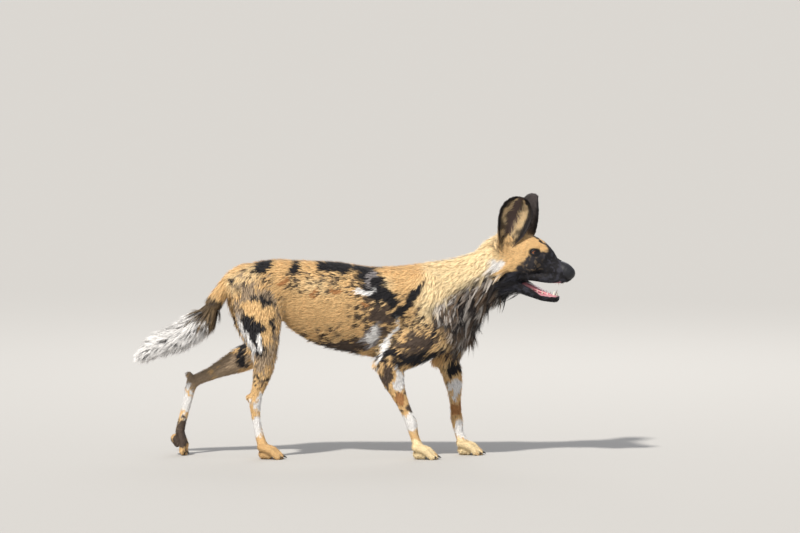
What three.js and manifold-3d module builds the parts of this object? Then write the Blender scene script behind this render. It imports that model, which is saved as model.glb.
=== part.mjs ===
// An African wild dog in mid-stride, life size. Millimetres, +Z up, the dog faces +X and its left side is +Y.
// Flesh is a field of tapered, elliptical tubes that melt into one another. It is meshed once, thinned to a
// few thousand triangles, and parted into head, neck, trunk, legs and tail.
import * as THREE from 'three';
import { mergeVertices } from 'three/addons/utils/BufferGeometryUtils.js';
import Module from 'manifold-3d';

const wasm = await Module();
wasm.setup();

// Driving dimensions
const PART_GAP = 0.3; // between nodes that touch
const HEAD_AT = [414, -4, 562]; // middle of the skull base
const HEAD_YAW = THREE.MathUtils.degToRad(-22); // the head looks a little to the dog's right
const EYE_RADIUS = 11;
const EYE_AT = [99, 33, 19]; // from the skull base, on the left side
const EYE_AXIS = [0.56, 0.8, 0.16];
const EAR_LENGTH = 150;
const EAR_HALF_WIDTH = 47;
const EAR_THICKNESS = 3.2;
const FINE = 6.5; // grid step of the flesh, before it is thinned
const SHORTEST_EDGE = 0.15; // shorter edges, where cuts meet, are closed
const SHORTEST_HAIR_EDGE = 2.4; // the same where locks of hair cross
const TRIANGLES_OF_FLESH = 5600;
const TAIL_CORE = 0.5; // flesh of the brush, as a share of the way to the tips of its hair

// The trunk from rump to breast: place along the body, back line, belly line, half width.
const TRUNK = [
  [-318, 530, 452, 36], [-286, 546, 414, 55], [-230, 556, 402, 65], [-174, 554, 386, 66],
  [-118, 552, 338, 74], [-62, 549, 308, 82], [-6, 540, 295, 88], [50, 535, 284, 91],
  [106, 537, 276, 90], [162, 535, 274, 82], [210, 528, 292, 72], [245, 506, 336, 58],
];
// Neck, tail and legs: x, y, z, half width across the body, half depth in the side view.
const NECK = [
  [196, 0, 440, 62, 92], [250, 0, 452, 64, 98], [298, 0, 475, 59, 88],
  [342, -1, 500, 55, 77], [382, -3, 527, 53, 70], [414, -5, 550, 54, 64],
];
const TAIL_ROOT = [
  [-318, 0, 508, 26, 30], [-350, 0, 496, 21, 25], [-378, 0, 466, 18, 22], [-400, 0, 434, 18, 24],
];
const TAIL_BRUSH = [
  [-384, 0, 452, 20, 27], [-410, 0, 414, 28, 36], [-444, 0, 376, 32, 40], [-482, 0, 344, 33, 39],
  [-524, 0, 325, 31, 36], [-566, 0, 309, 25, 29], [-598, 0, 288, 13, 16], [-616, 0, 272, 4, 5],
];
const LEGS = {
  foreleg_right: {
    side: -1, joint: [[98, -66, 243], [152, -60, 84]], paw: [176, -60, 0], heel: [56, -66, 268, 13],
    limb: [
      [188, -50, 478, 22, 40], [244, -56, 374, 33, 52], [176, -64, 322, 31, 50], [100, -67, 280, 26, 44],
      [99, -66, 232, 21, 34], [112, -64, 194, 17, 24], [129, -62, 154, 14.5, 17.5], [143, -61, 122, 14.5, 16],
      [152, -60, 99, 16, 17], [160, -60, 66, 14, 13], [168, -60, 42, 17, 14],
    ],
  },
  foreleg_left: {
    side: 1, joint: [[262, 62, 240], [283, 58, 82]], paw: [302, 56, 0], heel: [220, 62, 264, 12],
    limb: [
      [221, 50, 470, 22, 40], [280, 56, 366, 31, 47], [266, 61, 312, 28, 40], [254, 62, 272, 24, 34],
      [264, 62, 236, 20, 29], [271, 61, 199, 17, 24], [274, 60, 165, 14.5, 18], [277, 59, 128, 14.5, 16],
      [280, 58, 97, 16, 17], [286, 57, 64, 14, 13], [294, 56, 42, 17, 14],
    ],
  },
  hindleg_right: {
    side: -1, joint: [[-260, -55, 300], [-285, -57, 148]], paw: [-256, -55, 0], heel: [-303, -56, 174, 9],
    limb: [
      [-282, -38, 456, 30, 70], [-274, -46, 408, 33, 65], [-268, -50, 364, 31, 53], [-260, -54, 322, 27, 40],
      [-259, -57, 282, 22, 32], [-265, -58, 238, 17.5, 26], [-277, -58, 196, 14, 19], [-285, -57, 165, 14, 18],
      [-283, -56, 118, 12, 13], [-274, -55, 70, 13, 13], [-266, -55, 42, 17, 14],
    ],
  },
  hindleg_left: {
    side: 1, joint: [[-298, 56, 286], [-468, 56, 182]], paw: [-502, 52, 0], heel: [-472, 57, 228, 9], toes_down: 52,
    limb: [
      [-300, 38, 446, 30, 66], [-288, 46, 392, 32, 60], [-276, 51, 342, 30, 48], [-280, 55, 298, 26, 40],
      [-322, 57, 270, 22, 36], [-362, 58, 252, 18, 28], [-412, 59, 228, 14, 19], [-462, 57, 203, 14, 16.5],
      [-477, 55, 150, 12, 13], [-491, 53, 100, 13, 13], [-498, 52, 70, 15, 13.5],
    ],
  },
};

// The head, from its own skull base: x forward, y to its left, z up.
const SKULL = [
  [-18, 0, 6, 50, 50], [18, 0, 22, 57, 53], [55, 0, 16, 57, 54], [85, 0, 8, 50, 50],
  [110, 0, -4, 38, 42], [130, 0, -19, 31, 34], [152, 0, -30, 28, 31], [174, 0, -36, 26, 29], [190, 0, -38, 21, 20],
];
const CHEEK = [[28, 34, -22, 22, 30], [62, 40, -14, 22, 26], [88, 34, -18, 16, 20]];
const JAW_ANGLE = [[42, 36, -34, 20, 26], [22, 32, -64, 19, 24]];
const UPPER_LIP = [[62, 35, -48, 9, 10], [100, 31, -50, 9, 11], [140, 25, -55, 8, 11], [176, 19, -56, 8, 10]];
const BROW = [[84, 30, 40, 12, 10], [104, 29, 31, 10, 8]];
const EAR_MOUND = [[8, 40, 28, 24, 26], [24, 46, 52, 20, 20]];
const JAW = [[26, 36, -64, 12, 16], [52, 32, -78, 11, 13], [84, 26, -93, 9, 11], [118, 18, -106, 8, 10], [150, 8, -109, 8, 10]];
const JAW_FLOOR = [[20, 0, -78, 34, 12], [70, 0, -98, 22, 8], [120, 0, -111, 14, 7], [148, 0, -113, 8, 7]];
const THROAT = [[34, 0, -58, 32, 30], [-20, 0, -62, 44, 42]];
const MOUTH_CORNER = [56, 0, -63];

// Small arithmetic on points.
const add = (a, b, s = 1) => a.map((v, i) => v + b[i] * s);
const vector = (a) => new THREE.Vector3(a[0], a[1], a[2]);

// A smooth curve through rows of numbers, with `per` steps between rows.
function smooth(rows, per) {
  const out = [];
  for (let i = 0; i + 1 < rows.length; i++) {
    const [a, b, c, d] = [rows[Math.max(i - 1, 0)], rows[i], rows[i + 1], rows[Math.min(i + 2, rows.length - 1)]];
    for (let s = 0; s < per; s++) {
      const t = s / per;
      out.push(b.map((_, j) => b[j] + 0.5 * t * (c[j] - a[j] + t * (2 * a[j] - 5 * b[j] + 4 * c[j] - d[j]
        + t * (3 * (b[j] - c[j]) + d[j] - a[j])))));
    }
  }
  out.push(rows[rows.length - 1].slice());
  return out;
}

// Smooth minimum of two distances: they melt together over the depth k.
function melt(a, b, k) {
  const h = Math.max(k - Math.abs(a - b), 0) / k;
  return Math.min(a, b) - h * h * k / 4;
}

// The distance to a tapered elliptical tube. `keel` makes the section wider above than below.
function tube(stations, keel = 0) {
  const reach = 70; // farther than this the distance is not worked out
  const low = [0, 1, 2].map((i) => Math.min(...stations.map((s) => s[i] - Math.max(s[3], s[4]))) - reach);
  const high = [0, 1, 2].map((i) => Math.max(...stations.map((s) => s[i] + Math.max(s[3], s[4]))) + reach);
  const parts = stations.slice(1).map((b, i) => {
    const a = stations[i];
    const [dx, dy, dz] = [b[0] - a[0], b[1] - a[1], b[2] - a[2]];
    const length = Math.hypot(dx, dz) || 1;
    return { a, dx, dy, dz, square: dx * dx + dy * dy + dz * dz, dw: b[3] - a[3], dh: b[4] - a[4],
      upX: -dz / length, upZ: dx / length };
  });
  return (x, y, z) => {
    if (x < low[0] || y < low[1] || z < low[2] || x > high[0] || y > high[1] || z > high[2]) return reach;
    let best = reach;
    for (const p of parts) {
      let [px, py, pz] = [x - p.a[0], y - p.a[1], z - p.a[2]];
      const t = Math.min(1, Math.max(0, (px * p.dx + py * p.dy + pz * p.dz) / p.square));
      px -= t * p.dx;
      py -= t * p.dy;
      pz -= t * p.dz;
      const deep = p.a[4] + t * p.dh;
      const up = Math.min(1, Math.max(-1, (px * p.upX + pz * p.upZ) / deep));
      const wide = (p.a[3] + t * p.dw) * (1 + keel * up);
      const rest = px * px + pz * pz;
      const k0 = Math.sqrt(py * py / (wide * wide) + rest / (deep * deep));
      const k1 = Math.sqrt(py * py / wide ** 4 + rest / deep ** 4);
      best = Math.min(best, k1 > 1e-9 ? k0 * (k0 - 1) / k1 : -Math.min(wide, deep));
    }
    return best;
  };
}

// Fields
const trunkRows = TRUNK.map(([x, back, belly, wide]) => [x, 0, (back + belly) / 2, wide, (back - belly) / 2]);
const trunkField = tube(smooth(trunkRows, 3), 0.16);
const neckField = tube(smooth(NECK, 3), -0.04);
const tailField = tube(smooth(TAIL_ROOT, 3));
const brushCore = TAIL_BRUSH.slice(0, -2).map(([x, y, z, wide, deep]) => [x, y, z, wide * TAIL_CORE, deep * TAIL_CORE]);
const brushField = tube(smooth(brushCore, 3));

// Toes spread from the end of the foot. A foot on tiptoe is turned down about its ball.
const TIPTOE_BALL = 66; // height of the ball of a foot on tiptoe
const TOE_SPREAD = [-1.5, -0.5, 0.5, 1.5];
const TOE = { base: [-4, 9.5, 34, 11, 11], knuckle: [22, 12.2, 25, 9.5, 10.5], tip: [41, 13, 8, 8.5, 8.8] };
function footPoint(leg, [forward, across, up, ...size]) {
  const [x, y, z] = leg.paw;
  if (!leg.toes_down) return [x + forward, y + across, z + up, ...size];
  const turn = THREE.MathUtils.degToRad(leg.toes_down);
  const [f, u] = [forward + 14, up - 36];
  const [ahead, above] = [f * Math.cos(turn) + u * Math.sin(turn), u * Math.cos(turn) - f * Math.sin(turn)];
  return [x + 4 + ahead, y + across, z + TIPTOE_BALL + above, ...size];
}
const toeRow = (leg, i, [forward, across, up, ...size]) =>
  footPoint(leg, [forward - Math.max(0, Math.abs(i) - 0.5) * 9, across * i, up, ...size]);

function legField(leg) {
  const limb = tube(smooth(leg.limb, 3));
  const [hx, hy, hz, hr] = leg.heel;
  const near = leg.limb.reduce((a, b) => (vector(a).distanceTo(vector(leg.heel)) < vector(b).distanceTo(vector(leg.heel)) ? a : b));
  const heel = tube([[near[0], near[1], near[2], near[3] * 0.8, near[4] * 0.7], [hx, hy, hz, hr, hr]]);
  const toes = TOE_SPREAD.map((i) => tube([toeRow(leg, i, TOE.base), toeRow(leg, i, TOE.knuckle), toeRow(leg, i, TOE.tip)]));
  const pad = tube([footPoint(leg, [-6, 0, 14, 19, 14.5]), footPoint(leg, [6, 0, 11, 18, 12])]);
  return (x, y, z) => {
    let d = melt(limb(x, y, z), heel(x, y, z), 10);
    if (z > 120) return d;
    d = melt(d, pad(x, y, z), 10);
    let t = Infinity;
    for (const toe of toes) t = melt(t, toe(x, y, z), 5);
    return melt(d, t, 7);
  };
}
for (const leg of Object.values(LEGS)) leg.field = legField(leg);

function bothSides(stations, keel) {
  const one = tube(stations, keel);
  return (x, y, z) => one(x, Math.abs(y), z);
}
const head = {
  skull: tube(smooth(SKULL, 3), -0.06), cheek: bothSides(smooth(CHEEK, 2)), angle: bothSides(JAW_ANGLE),
  lip: bothSides(smooth(UPPER_LIP, 2)), brow: bothSides(BROW), mound: bothSides(EAR_MOUND), jaw: bothSides(smooth(JAW, 2)),
  floor: tube(smooth(JAW_FLOOR, 2)), throat: tube(THROAT),
};
const [yawCos, yawSin] = [Math.cos(HEAD_YAW), Math.sin(HEAD_YAW)];
function headField(x, y, z) {
  const [rx, ry] = [x - HEAD_AT[0], y - HEAD_AT[1]];
  const [a, b, c] = [rx * yawCos + ry * yawSin, -rx * yawSin + ry * yawCos, z - HEAD_AT[2]];
  if (a < -130 || a > 270) return 70;
  let d = melt(head.skull(a, b, c), head.cheek(a, b, c), 16);
  d = melt(d, head.angle(a, b, c), 16);
  d = melt(d, head.mound(a, b, c), 16);
  d = melt(d, head.brow(a, b, c), 10);
  d = melt(d, head.lip(a, b, c), 9);
  const lower = melt(head.jaw(a, b, c), head.floor(a, b, c), 10);
  d = melt(d, melt(lower, head.throat(a, b, c), 14), 10);
  return d;
}

function flesh(x, y, z) {
  let core = melt(trunkField(x, y, z), neckField(x, y, z), 46);
  core = melt(core, headField(x, y, z), 24);
  core = melt(core, tailField(x, y, z), 22);
  core = melt(core, brushField(x, y, z), 12);
  let d = core;
  for (const leg of Object.values(LEGS)) d = Math.min(d, melt(core, leg.field(x, y, z), 30));
  return d;
}

// Meshes the zero surface of a field inside a box. A grid cell has one vertex for each group of its corners that
// are inside and joined, and each grid edge that crosses the surface has two triangles.
function mesh(field, low, high, step) {
  const n = low.map((v, i) => Math.ceil((high[i] - v) / step) + 1);
  const at = (i, j, k) => (i * n[1] + j) * n[2] + k;
  const stride = [n[1] * n[2], n[2], 1];
  const value = new Float32Array(n[0] * n[1] * n[2]);
  for (let i = 0; i < n[0]; i++) for (let j = 0; j < n[1]; j++) for (let k = 0; k < n[2]; k++) {
    value[at(i, j, k)] = field(low[0] + i * step, low[1] + j * step, low[2] + k * step);
  }
  const bits = [4, 2, 1]; // a corner's number has a bit for each axis
  const shift = Array.from({ length: 8 }, (_, c) => bits.reduce((sum, bit, axis) => sum + (c & bit ? stride[axis] : 0), 0));
  const firstSlot = new Int32Array(value.length).fill(-1);
  const slots = []; // eight for each cell on the surface: the vertex that each inside corner belongs to
  const points = [];
  for (let i = 0; i < n[0] - 1; i++) for (let j = 0; j < n[1] - 1; j++) for (let k = 0; k < n[2] - 1; k++) {
    const corner = at(i, j, k);
    const inside = shift.map((s) => value[corner + s] < 0);
    if (inside.every((v) => v) || !inside.some((v) => v)) continue;
    const group = inside.map((v, c) => (v ? c : -1));
    for (let pass = 0; pass < 3; pass++) for (let c = 0; c < 8; c++) for (const bit of bits) {
      if (inside[c] && inside[c ^ bit]) group[c] = group[c ^ bit] = Math.min(group[c], group[c ^ bit]);
    }
    const vertex = new Map();
    for (let c = 0; c < 8; c++) for (let axis = 0; axis < 3; axis++) {
      const d = c ^ bits[axis];
      if (!inside[c] || inside[d]) continue;
      const share = value[corner + shift[c]] / (value[corner + shift[c]] - value[corner + shift[d]]);
      const place = bits.map((bit, m) => (c & bit ? 1 : 0) + (m === axis ? (c & bit ? -share : share) : 0));
      const sum = vertex.get(group[c]) ?? vertex.set(group[c], [0, 0, 0, 0]).get(group[c]);
      place.forEach((v, m) => { sum[m] += v; });
      sum[3] += 1;
    }
    const number = new Map();
    for (const [key, [x, y, z, count]] of vertex) {
      number.set(key, points.length);
      points.push([low[0] + (i + x / count) * step, low[1] + (j + y / count) * step, low[2] + (k + z / count) * step]);
    }
    firstSlot[corner] = slots.length;
    for (let c = 0; c < 8; c++) slots.push(inside[c] ? number.get(group[c]) ?? -1 : -1);
  }
  const faces = [];
  for (let i = 1; i < n[0] - 1; i++) for (let j = 1; j < n[1] - 1; j++) for (let k = 1; k < n[2] - 1; k++) {
    const here = at(i, j, k);
    for (let axis = 0; axis < 3; axis++) {
      const [first, second] = [value[here] < 0, value[here + stride[axis]] < 0];
      if (first === second) continue;
      const [u, v] = [(axis + 1) % 3, (axis + 2) % 3];
      const around = [[0, 0], [1, 0], [1, 1], [0, 1]].map(([du, dv]) => {
        const inner = (second ? bits[axis] : 0) | (du ? bits[u] : 0) | (dv ? bits[v] : 0);
        return slots[firstSlot[here - du * stride[u] - dv * stride[v]] + inner];
      });
      if (second) around.reverse();
      faces.push([around[0], around[1], around[2]], [around[0], around[2], around[3]]);
    }
  }
  return { points: points.map((p) => settle(field, p)), faces };
}

// Moves a point along the field's slope on to its surface.
function settle(field, p) {
  const e = 0.5;
  let q = p;
  for (let turn = 0; turn < 3; turn++) {
    const d = field(...q);
    const slope = [0, 1, 2].map((i) => {
      const [a, b] = [q.slice(), q.slice()];
      a[i] += e;
      b[i] -= e;
      return (field(...a) - field(...b)) / (2 * e);
    });
    const size = slope.reduce((s, v) => s + v * v, 0);
    if (size < 0.05) break;
    const move = Math.max(-2, Math.min(2, d / size));
    q = q.map((v, i) => v - move * slope[i]);
  }
  return q;
}

// Joins the pairs of vertices that change the shape least, until `keep` triangles are left. `weight` says how
// much a change counts at a point, and pairs that are more than `longest` apart stay.
function thin({ points, faces }, keep, weight, longest = Infinity) {
  const quadric = points.map(() => new Float64Array(10));
  const touching = points.map(() => new Set());
  const alive = faces.map(() => true);
  const corner = (f) => f.map((v) => points[v]);
  const normalOf = ([a, b, c]) => {
    const [ux, uy, uz] = add(b, a, -1);
    const [vx, vy, vz] = add(c, a, -1);
    return [uy * vz - uz * vy, uz * vx - ux * vz, ux * vy - uy * vx];
  };
  faces.forEach((f, index) => {
    const normal = normalOf(corner(f));
    const area = Math.hypot(...normal) || 1e-9;
    const [a, b, c] = normal.map((v) => v / area);
    const d = -(a * points[f[0]][0] + b * points[f[0]][1] + c * points[f[0]][2]);
    const w = area * weight(points[f[0]]);
    const plane = [a * a, a * b, a * c, a * d, b * b, b * c, b * d, c * c, c * d, d * d];
    for (const v of f) {
      plane.forEach((q, m) => { quadric[v][m] += q * w; });
      touching[v].add(index);
    }
  });
  const error = (q, [x, y, z]) => q[0] * x * x + 2 * q[1] * x * y + 2 * q[2] * x * z + 2 * q[3] * x + q[4] * y * y
    + 2 * q[5] * y * z + 2 * q[6] * y + q[7] * z * z + 2 * q[8] * z + q[9];
  const heap = [];
  const less = (a, b) => a.cost < b.cost;
  const push = (item) => {
    heap.push(item);
    for (let i = heap.length - 1; i > 0;) {
      const up = (i - 1) >> 1;
      if (!less(heap[i], heap[up])) break;
      [heap[i], heap[up]] = [heap[up], heap[i]];
      i = up;
    }
  };
  const pop = () => {
    const top = heap[0];
    const last = heap.pop();
    if (heap.length) {
      heap[0] = last;
      for (let i = 0;;) {
        let next = i;
        for (const child of [2 * i + 1, 2 * i + 2]) if (child < heap.length && less(heap[child], heap[next])) next = child;
        if (next === i) break;
        [heap[i], heap[next]] = [heap[next], heap[i]];
        i = next;
      }
    }
    return top;
  };
  const stamp = new Int32Array(points.length);
  const offer = (a, b) => {
    const sum = quadric[a].map((q, m) => q + quadric[b][m]);
    const [pa, pb] = [points[a], points[b]];
    const middle = pa.map((v, m) => (v + pb[m]) / 2);
    const length = Math.hypot(...add(pa, pb, -1));
    if (length > longest) return;
    let best = null;
    for (const p of [middle, pa, pb]) {
      const cost = Math.abs(error(sum, p)) + length ** 3 * 1e-4 * weight(p);
      if (!best || cost < best.cost) best = { cost, p };
    }
    push({ ...best, a, b, sa: stamp[a], sb: stamp[b] });
  };
  const neighbours = (v) => {
    const found = new Set();
    for (const f of touching[v]) for (const w of faces[f]) if (w !== v) found.add(w);
    return found;
  };
  points.forEach((_, a) => neighbours(a).forEach((b) => { if (a < b) offer(a, b); }));
  let left = faces.length;
  while (left > keep && heap.length) {
    const { a, b, p, sa, sb } = pop();
    if (stamp[a] !== sa || stamp[b] !== sb) continue;
    const [na, nb] = [neighbours(a), neighbours(b)];
    if ([...na].filter((v) => nb.has(v)).length !== 2) continue;
    const flips = [a, b].some((v) => [...touching[v]].some((f) => {
      if (faces[f].includes(a) && faces[f].includes(b)) return false;
      const before = normalOf(corner(faces[f]));
      const after = normalOf(faces[f].map((w) => (w === v ? p : points[w])));
      const dot = before[0] * after[0] + before[1] * after[1] + before[2] * after[2];
      return dot < 0.3 * Math.hypot(...before) * Math.hypot(...after);
    }));
    if (flips) continue;
    for (const f of [...touching[b]]) {
      if (faces[f].includes(a)) {
        alive[f] = false;
        left -= 1;
        for (const w of faces[f]) touching[w].delete(f);
      } else {
        faces[f] = faces[f].map((w) => (w === b ? a : w));
        touching[a].add(f);
      }
    }
    touching[b].clear();
    points[a] = p;
    quadric[a] = quadric[a].map((q, m) => q + quadric[b][m]);
    stamp[a] += 1;
    stamp[b] += 1;
    for (const v of neighbours(a)) offer(a, v);
  }
  return { points, faces: faces.filter((_, f) => alive[f]) };
}

// Geometries and solids
function geometryOf({ points, faces }) {
  const geometry = new THREE.BufferGeometry();
  geometry.setAttribute('position', new THREE.Float32BufferAttribute(points.flat(), 3));
  geometry.setIndex(faces.flat());
  return geometry;
}

function solid(geometry) {
  const bare = geometry.clone();
  bare.deleteAttribute('normal');
  bare.deleteAttribute('uv');
  const merged = mergeVertices(bare, 1e-4);
  return new wasm.Manifold(new wasm.Mesh({
    numProp: 3, vertProperties: merged.attributes.position.array, triVerts: new Uint32Array(merged.index.array),
  }));
}

// The points and faces of a solid, with its shortest edges closed.
function withoutShortEdges(body, shortest) {
  const { vertProperties, triVerts } = body.getMesh();
  const triples = (list) => Array.from({ length: list.length / 3 }, (_, i) => Array.from(list.subarray(3 * i, 3 * i + 3)));
  return thin({ points: triples(vertProperties), faces: triples(triVerts) }, 0, () => 1, shortest);
}

const largest = (made) => made.decompose().reduce((a, b) => (a.volume() > b.volume() ? a : b));

// A closed tube of elliptical rings along stations, each across its own heading. It may start and end in points.
function loft(stations, sides, { grow = 0, across = [0, 1, 0] } = {}) {
  const points = [];
  const faces = [];
  const ring = (i) => 1 + i * sides;
  stations.forEach((s, i) => {
    const ahead = vector(add(stations[Math.min(i + 1, stations.length - 1)], stations[Math.max(i - 1, 0)], -1)).normalize();
    const side = vector(across).addScaledVector(ahead, -vector(across).dot(ahead)).normalize();
    const up = new THREE.Vector3().crossVectors(ahead, side);
    const middle = vector(s).addScaledVector(ahead, i === 0 ? -grow : i === stations.length - 1 ? grow : 0);
    if (i === 0) points.push(middle.toArray());
    for (let j = 0; j < sides; j++) {
      const turn = (2 * Math.PI * j) / sides;
      points.push(middle.clone().addScaledVector(side, Math.cos(turn) * (s[3] + grow))
        .addScaledVector(up, Math.sin(turn) * (s[4] + grow)).toArray());
    }
    if (i === stations.length - 1) points.push(middle.toArray());
  });
  const last = points.length - 1;
  for (let j = 0; j < sides; j++) {
    const k = (j + 1) % sides;
    faces.push([0, ring(0) + k, ring(0) + j], [last, ring(stations.length - 1) + j, ring(stations.length - 1) + k]);
    for (let i = 0; i + 1 < stations.length; i++) {
      faces.push([ring(i) + j, ring(i) + k, ring(i + 1) + k], [ring(i) + j, ring(i + 1) + k, ring(i + 1) + j]);
    }
  }
  return geometryOf({ points, faces });
}

// Everything on the side of a plane that its normal points to.
function halfSpace(point, normal) {
  const size = 2400;
  const box = new THREE.BoxGeometry(size, size, size).translate(0, 0, size / 2);
  box.applyQuaternion(new THREE.Quaternion().setFromUnitVectors(new THREE.Vector3(0, 0, 1), vector(normal).normalize()));
  return solid(box.translate(...point));
}
// What is behind and what is ahead of a thin cut across a plane.
function sides(body, point, normal) {
  const direction = vector(normal).normalize().toArray();
  const behind = body.subtract(halfSpace(add(point, direction, -PART_GAP / 2), direction));
  const ahead = body.intersect(halfSpace(add(point, direction, PART_GAP / 2), direction));
  return [behind, ahead];
}
const part = (body, point, normal) => sides(body, point, normal).map(largest);
// Takes what is ahead of both of two planes off a solid: [rest, corner].
function takeCorner(body, point, ...normals) {
  const directions = normals.map((n) => vector(n).normalize().toArray());
  const corner = (grow) => directions.map((n) => halfSpace(add(point, n, -grow), n)).reduce((a, b) => a.intersect(b));
  return [largest(body.subtract(corner(PART_GAP))), largest(body.intersect(corner(0)))];
}

// Places in the head's frame carried to the dog's frame.
const headMatrix = new THREE.Matrix4().makeRotationZ(HEAD_YAW).setPosition(...HEAD_AT);
const inHead = (p) => vector(p).applyMatrix4(headMatrix).toArray();
const turnedWithHead = (n) => vector(n).applyAxisAngle(new THREE.Vector3(0, 0, 1), HEAD_YAW).toArray();
const headStations = (rows) => rows.map(([x, y, z, ...size]) => [...inHead([x, y, z]), ...size]);

// The ears: wide rounded cups, rolled to a tube at the root and open towards the front and side.
const EAR_ROOT = [14, 50, 36];
const EAR_TIP = [78, 62, 172];
const EAR_OPENS = [0.62, 0.78, 0.05];
const EAR_SHAPE = [ // share of the length, half width as a share of the widest, half angle of the roll in degrees
  [0, 0.36, 118], [0.15, 0.52, 104], [0.32, 0.78, 84], [0.5, 0.96, 64], [0.66, 1, 52], [0.8, 0.88, 44], [0.91, 0.62, 36],
  [0.97, 0.38, 30], [1, 0.14, 26],
];
function ear(sideSign, grow = 0) {
  const flip = ([x, y, z]) => vector([x, y * sideSign, z]);
  const root = flip(EAR_ROOT);
  const along = flip(EAR_TIP).sub(root).normalize();
  const opens = flip(EAR_OPENS);
  opens.addScaledVector(along, -opens.dot(along)).normalize();
  const edge = new THREE.Vector3().crossVectors(along, opens);
  const columns = 8;
  const rows = smooth(EAR_SHAPE, 1);
  const layers = [-grow, EAR_THICKNESS + grow];
  const points = [];
  const at = (layer, i, j) => (layer * rows.length + i) * (columns + 1) + j;
  for (const offset of layers) for (const [share, width, roll] of rows) {
    const angle = THREE.MathUtils.degToRad(roll);
    const half = EAR_HALF_WIDTH * width;
    const radius = half / Math.sin(Math.min(angle, Math.PI / 2));
    const thinning = offset > 0 ? 1 - 0.4 * share : 1;
    for (let j = 0; j <= columns; j++) {
      const turn = angle * (2 * j / columns - 1) * (1 + grow / radius);
      const r = radius + offset * thinning;
      const p = root.clone().addScaledVector(along, EAR_LENGTH * share + (share < 0.5 ? -grow : grow))
        .addScaledVector(edge, r * Math.sin(turn)).addScaledVector(opens, radius * 0.55 - r * Math.cos(turn));
      points.push(p.applyMatrix4(headMatrix).toArray());
    }
  }
  const faces = [];
  const quad = (a, b, c, d) => faces.push([a, b, c], [a, c, d]);
  const top = rows.length - 1;
  for (let i = 0; i < top; i++) for (let j = 0; j < columns; j++) {
    faces.push([at(0, i, j), at(0, i + 1, j), at(0, i + 1, j + 1)], [at(0, i, j), at(0, i + 1, j + 1), at(0, i, j + 1)]);
    faces.push([at(1, i, j), at(1, i + 1, j + 1), at(1, i + 1, j)], [at(1, i, j), at(1, i, j + 1), at(1, i + 1, j + 1)]);
  }
  for (let i = 0; i < top; i++) {
    quad(at(0, i, 0), at(1, i, 0), at(1, i + 1, 0), at(0, i + 1, 0));
    quad(at(0, i, columns), at(0, i + 1, columns), at(1, i + 1, columns), at(1, i, columns));
  }
  for (let j = 0; j < columns; j++) {
    quad(at(0, 0, j), at(0, 0, j + 1), at(1, 0, j + 1), at(1, 0, j));
    quad(at(0, top, j), at(1, top, j), at(1, top, j + 1), at(0, top, j + 1));
  }
  const made = solid(geometryOf({ points, faces }));
  if (made.volume() > 0) return made;
  return solid(geometryOf({ points, faces: faces.map((f) => f.slice().reverse()) }));
}

// The eyes: a ball in a socket behind lids with an almond opening.
const ball = (centre, radius, wide, high) => solid(new THREE.SphereGeometry(radius, wide, high).translate(...centre));
function eyeParts(sideSign) {
  const centre = inHead([EYE_AT[0], EYE_AT[1] * sideSign, EYE_AT[2]]);
  const axis = turnedWithHead([EYE_AXIS[0], EYE_AXIS[1] * sideSign, EYE_AXIS[2]]);
  const lids = ball(centre, EYE_RADIUS + 2.2, 14, 9);
  const socket = ball(centre, EYE_RADIUS + PART_GAP, 12, 8);
  const opening = new THREE.SphereGeometry(1, 12, 8).scale(9.5, 6.2, 9);
  const facing = new THREE.Matrix4().lookAt(new THREE.Vector3(), vector(axis).negate(), new THREE.Vector3(0, 0, 1));
  opening.applyMatrix4(facing).translate(...add(centre, axis, EYE_RADIUS));
  return { eyeball: ball(centre, EYE_RADIUS, 12, 8), lids, socket, opening: solid(opening) };
}

const TONGUE = [[40, 0, -74, 15, 5], [58, 0, -81, 17, 6], [84, 0, -91, 16, 6], [112, 0, -101, 12, 5], [132, 0, -104, 8, 4], [141, 0, -105, 4, 2.5]];
const tongue = (grow) => solid(loft(headStations(TONGUE), 12, { grow, across: turnedWithHead([0, 1, 0]) }));

// A tooth or claw: a cone with its root sunk in.
function spike(root, tip, radius, sides) {
  const middle = add(root, add(tip, root, -1), 0.5);
  return solid(loft([[...root, radius, radius], [...middle, radius * 0.75, radius * 0.75], [...tip, radius * 0.12, radius * 0.12]], sides));
}

function lowerTeeth() {
  const teeth = [];
  for (const s of [-1, 1]) {
    teeth.push(spike(inHead([148, 8.5 * s, -107]), inHead([152, 10 * s, -86]), 3.6, 7));
    for (let i = 0; i < 5; i++) {
      const t = i / 4;
      const [x, y, z] = [132 - 56 * t, (13.5 + 11 * t) * s, -104 + 13 * t];
      teeth.push(spike(inHead([x, y, z - 2]), inHead([x, y, z + 12]), 4.2, 6));
    }
    for (const y of [2, 5]) teeth.push(spike(inHead([154, y * s, -108]), inHead([157, y * s, -94]), 1.9, 5));
  }
  return teeth;
}

function clawsOf(leg) {
  const [root, tip] = leg.toes_down ? [[38, 13, 18], [53, 13.4, 16]] : [[44, 13.2, 11], [60, 13.6, 3]];
  return TOE_SPREAD.map((i) => spike(toeRow(leg, i, root), toeRow(leg, i, tip), 3.4, 6));
}

// Long hair: flat, tapered, overlapping locks with their roots sunk in. `out` is the share of the way to the tips.
const LOCK = [
  { along: 0, out: 0.1, wide: 0.7, thick: 4.5 }, { along: 0.36, out: 0.7, wide: 1, thick: 5 },
  { along: 0.72, out: 0.94, wide: 0.72, thick: 3.6 }, { along: 1, out: 1, wide: 0.14, thick: 1 },
];
let seed = 7;
function between(low, high) {
  seed = (seed * 1664525 + 1013904223) % 4294967296;
  return low + (high - low) * (seed / 4294967296);
}

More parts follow.
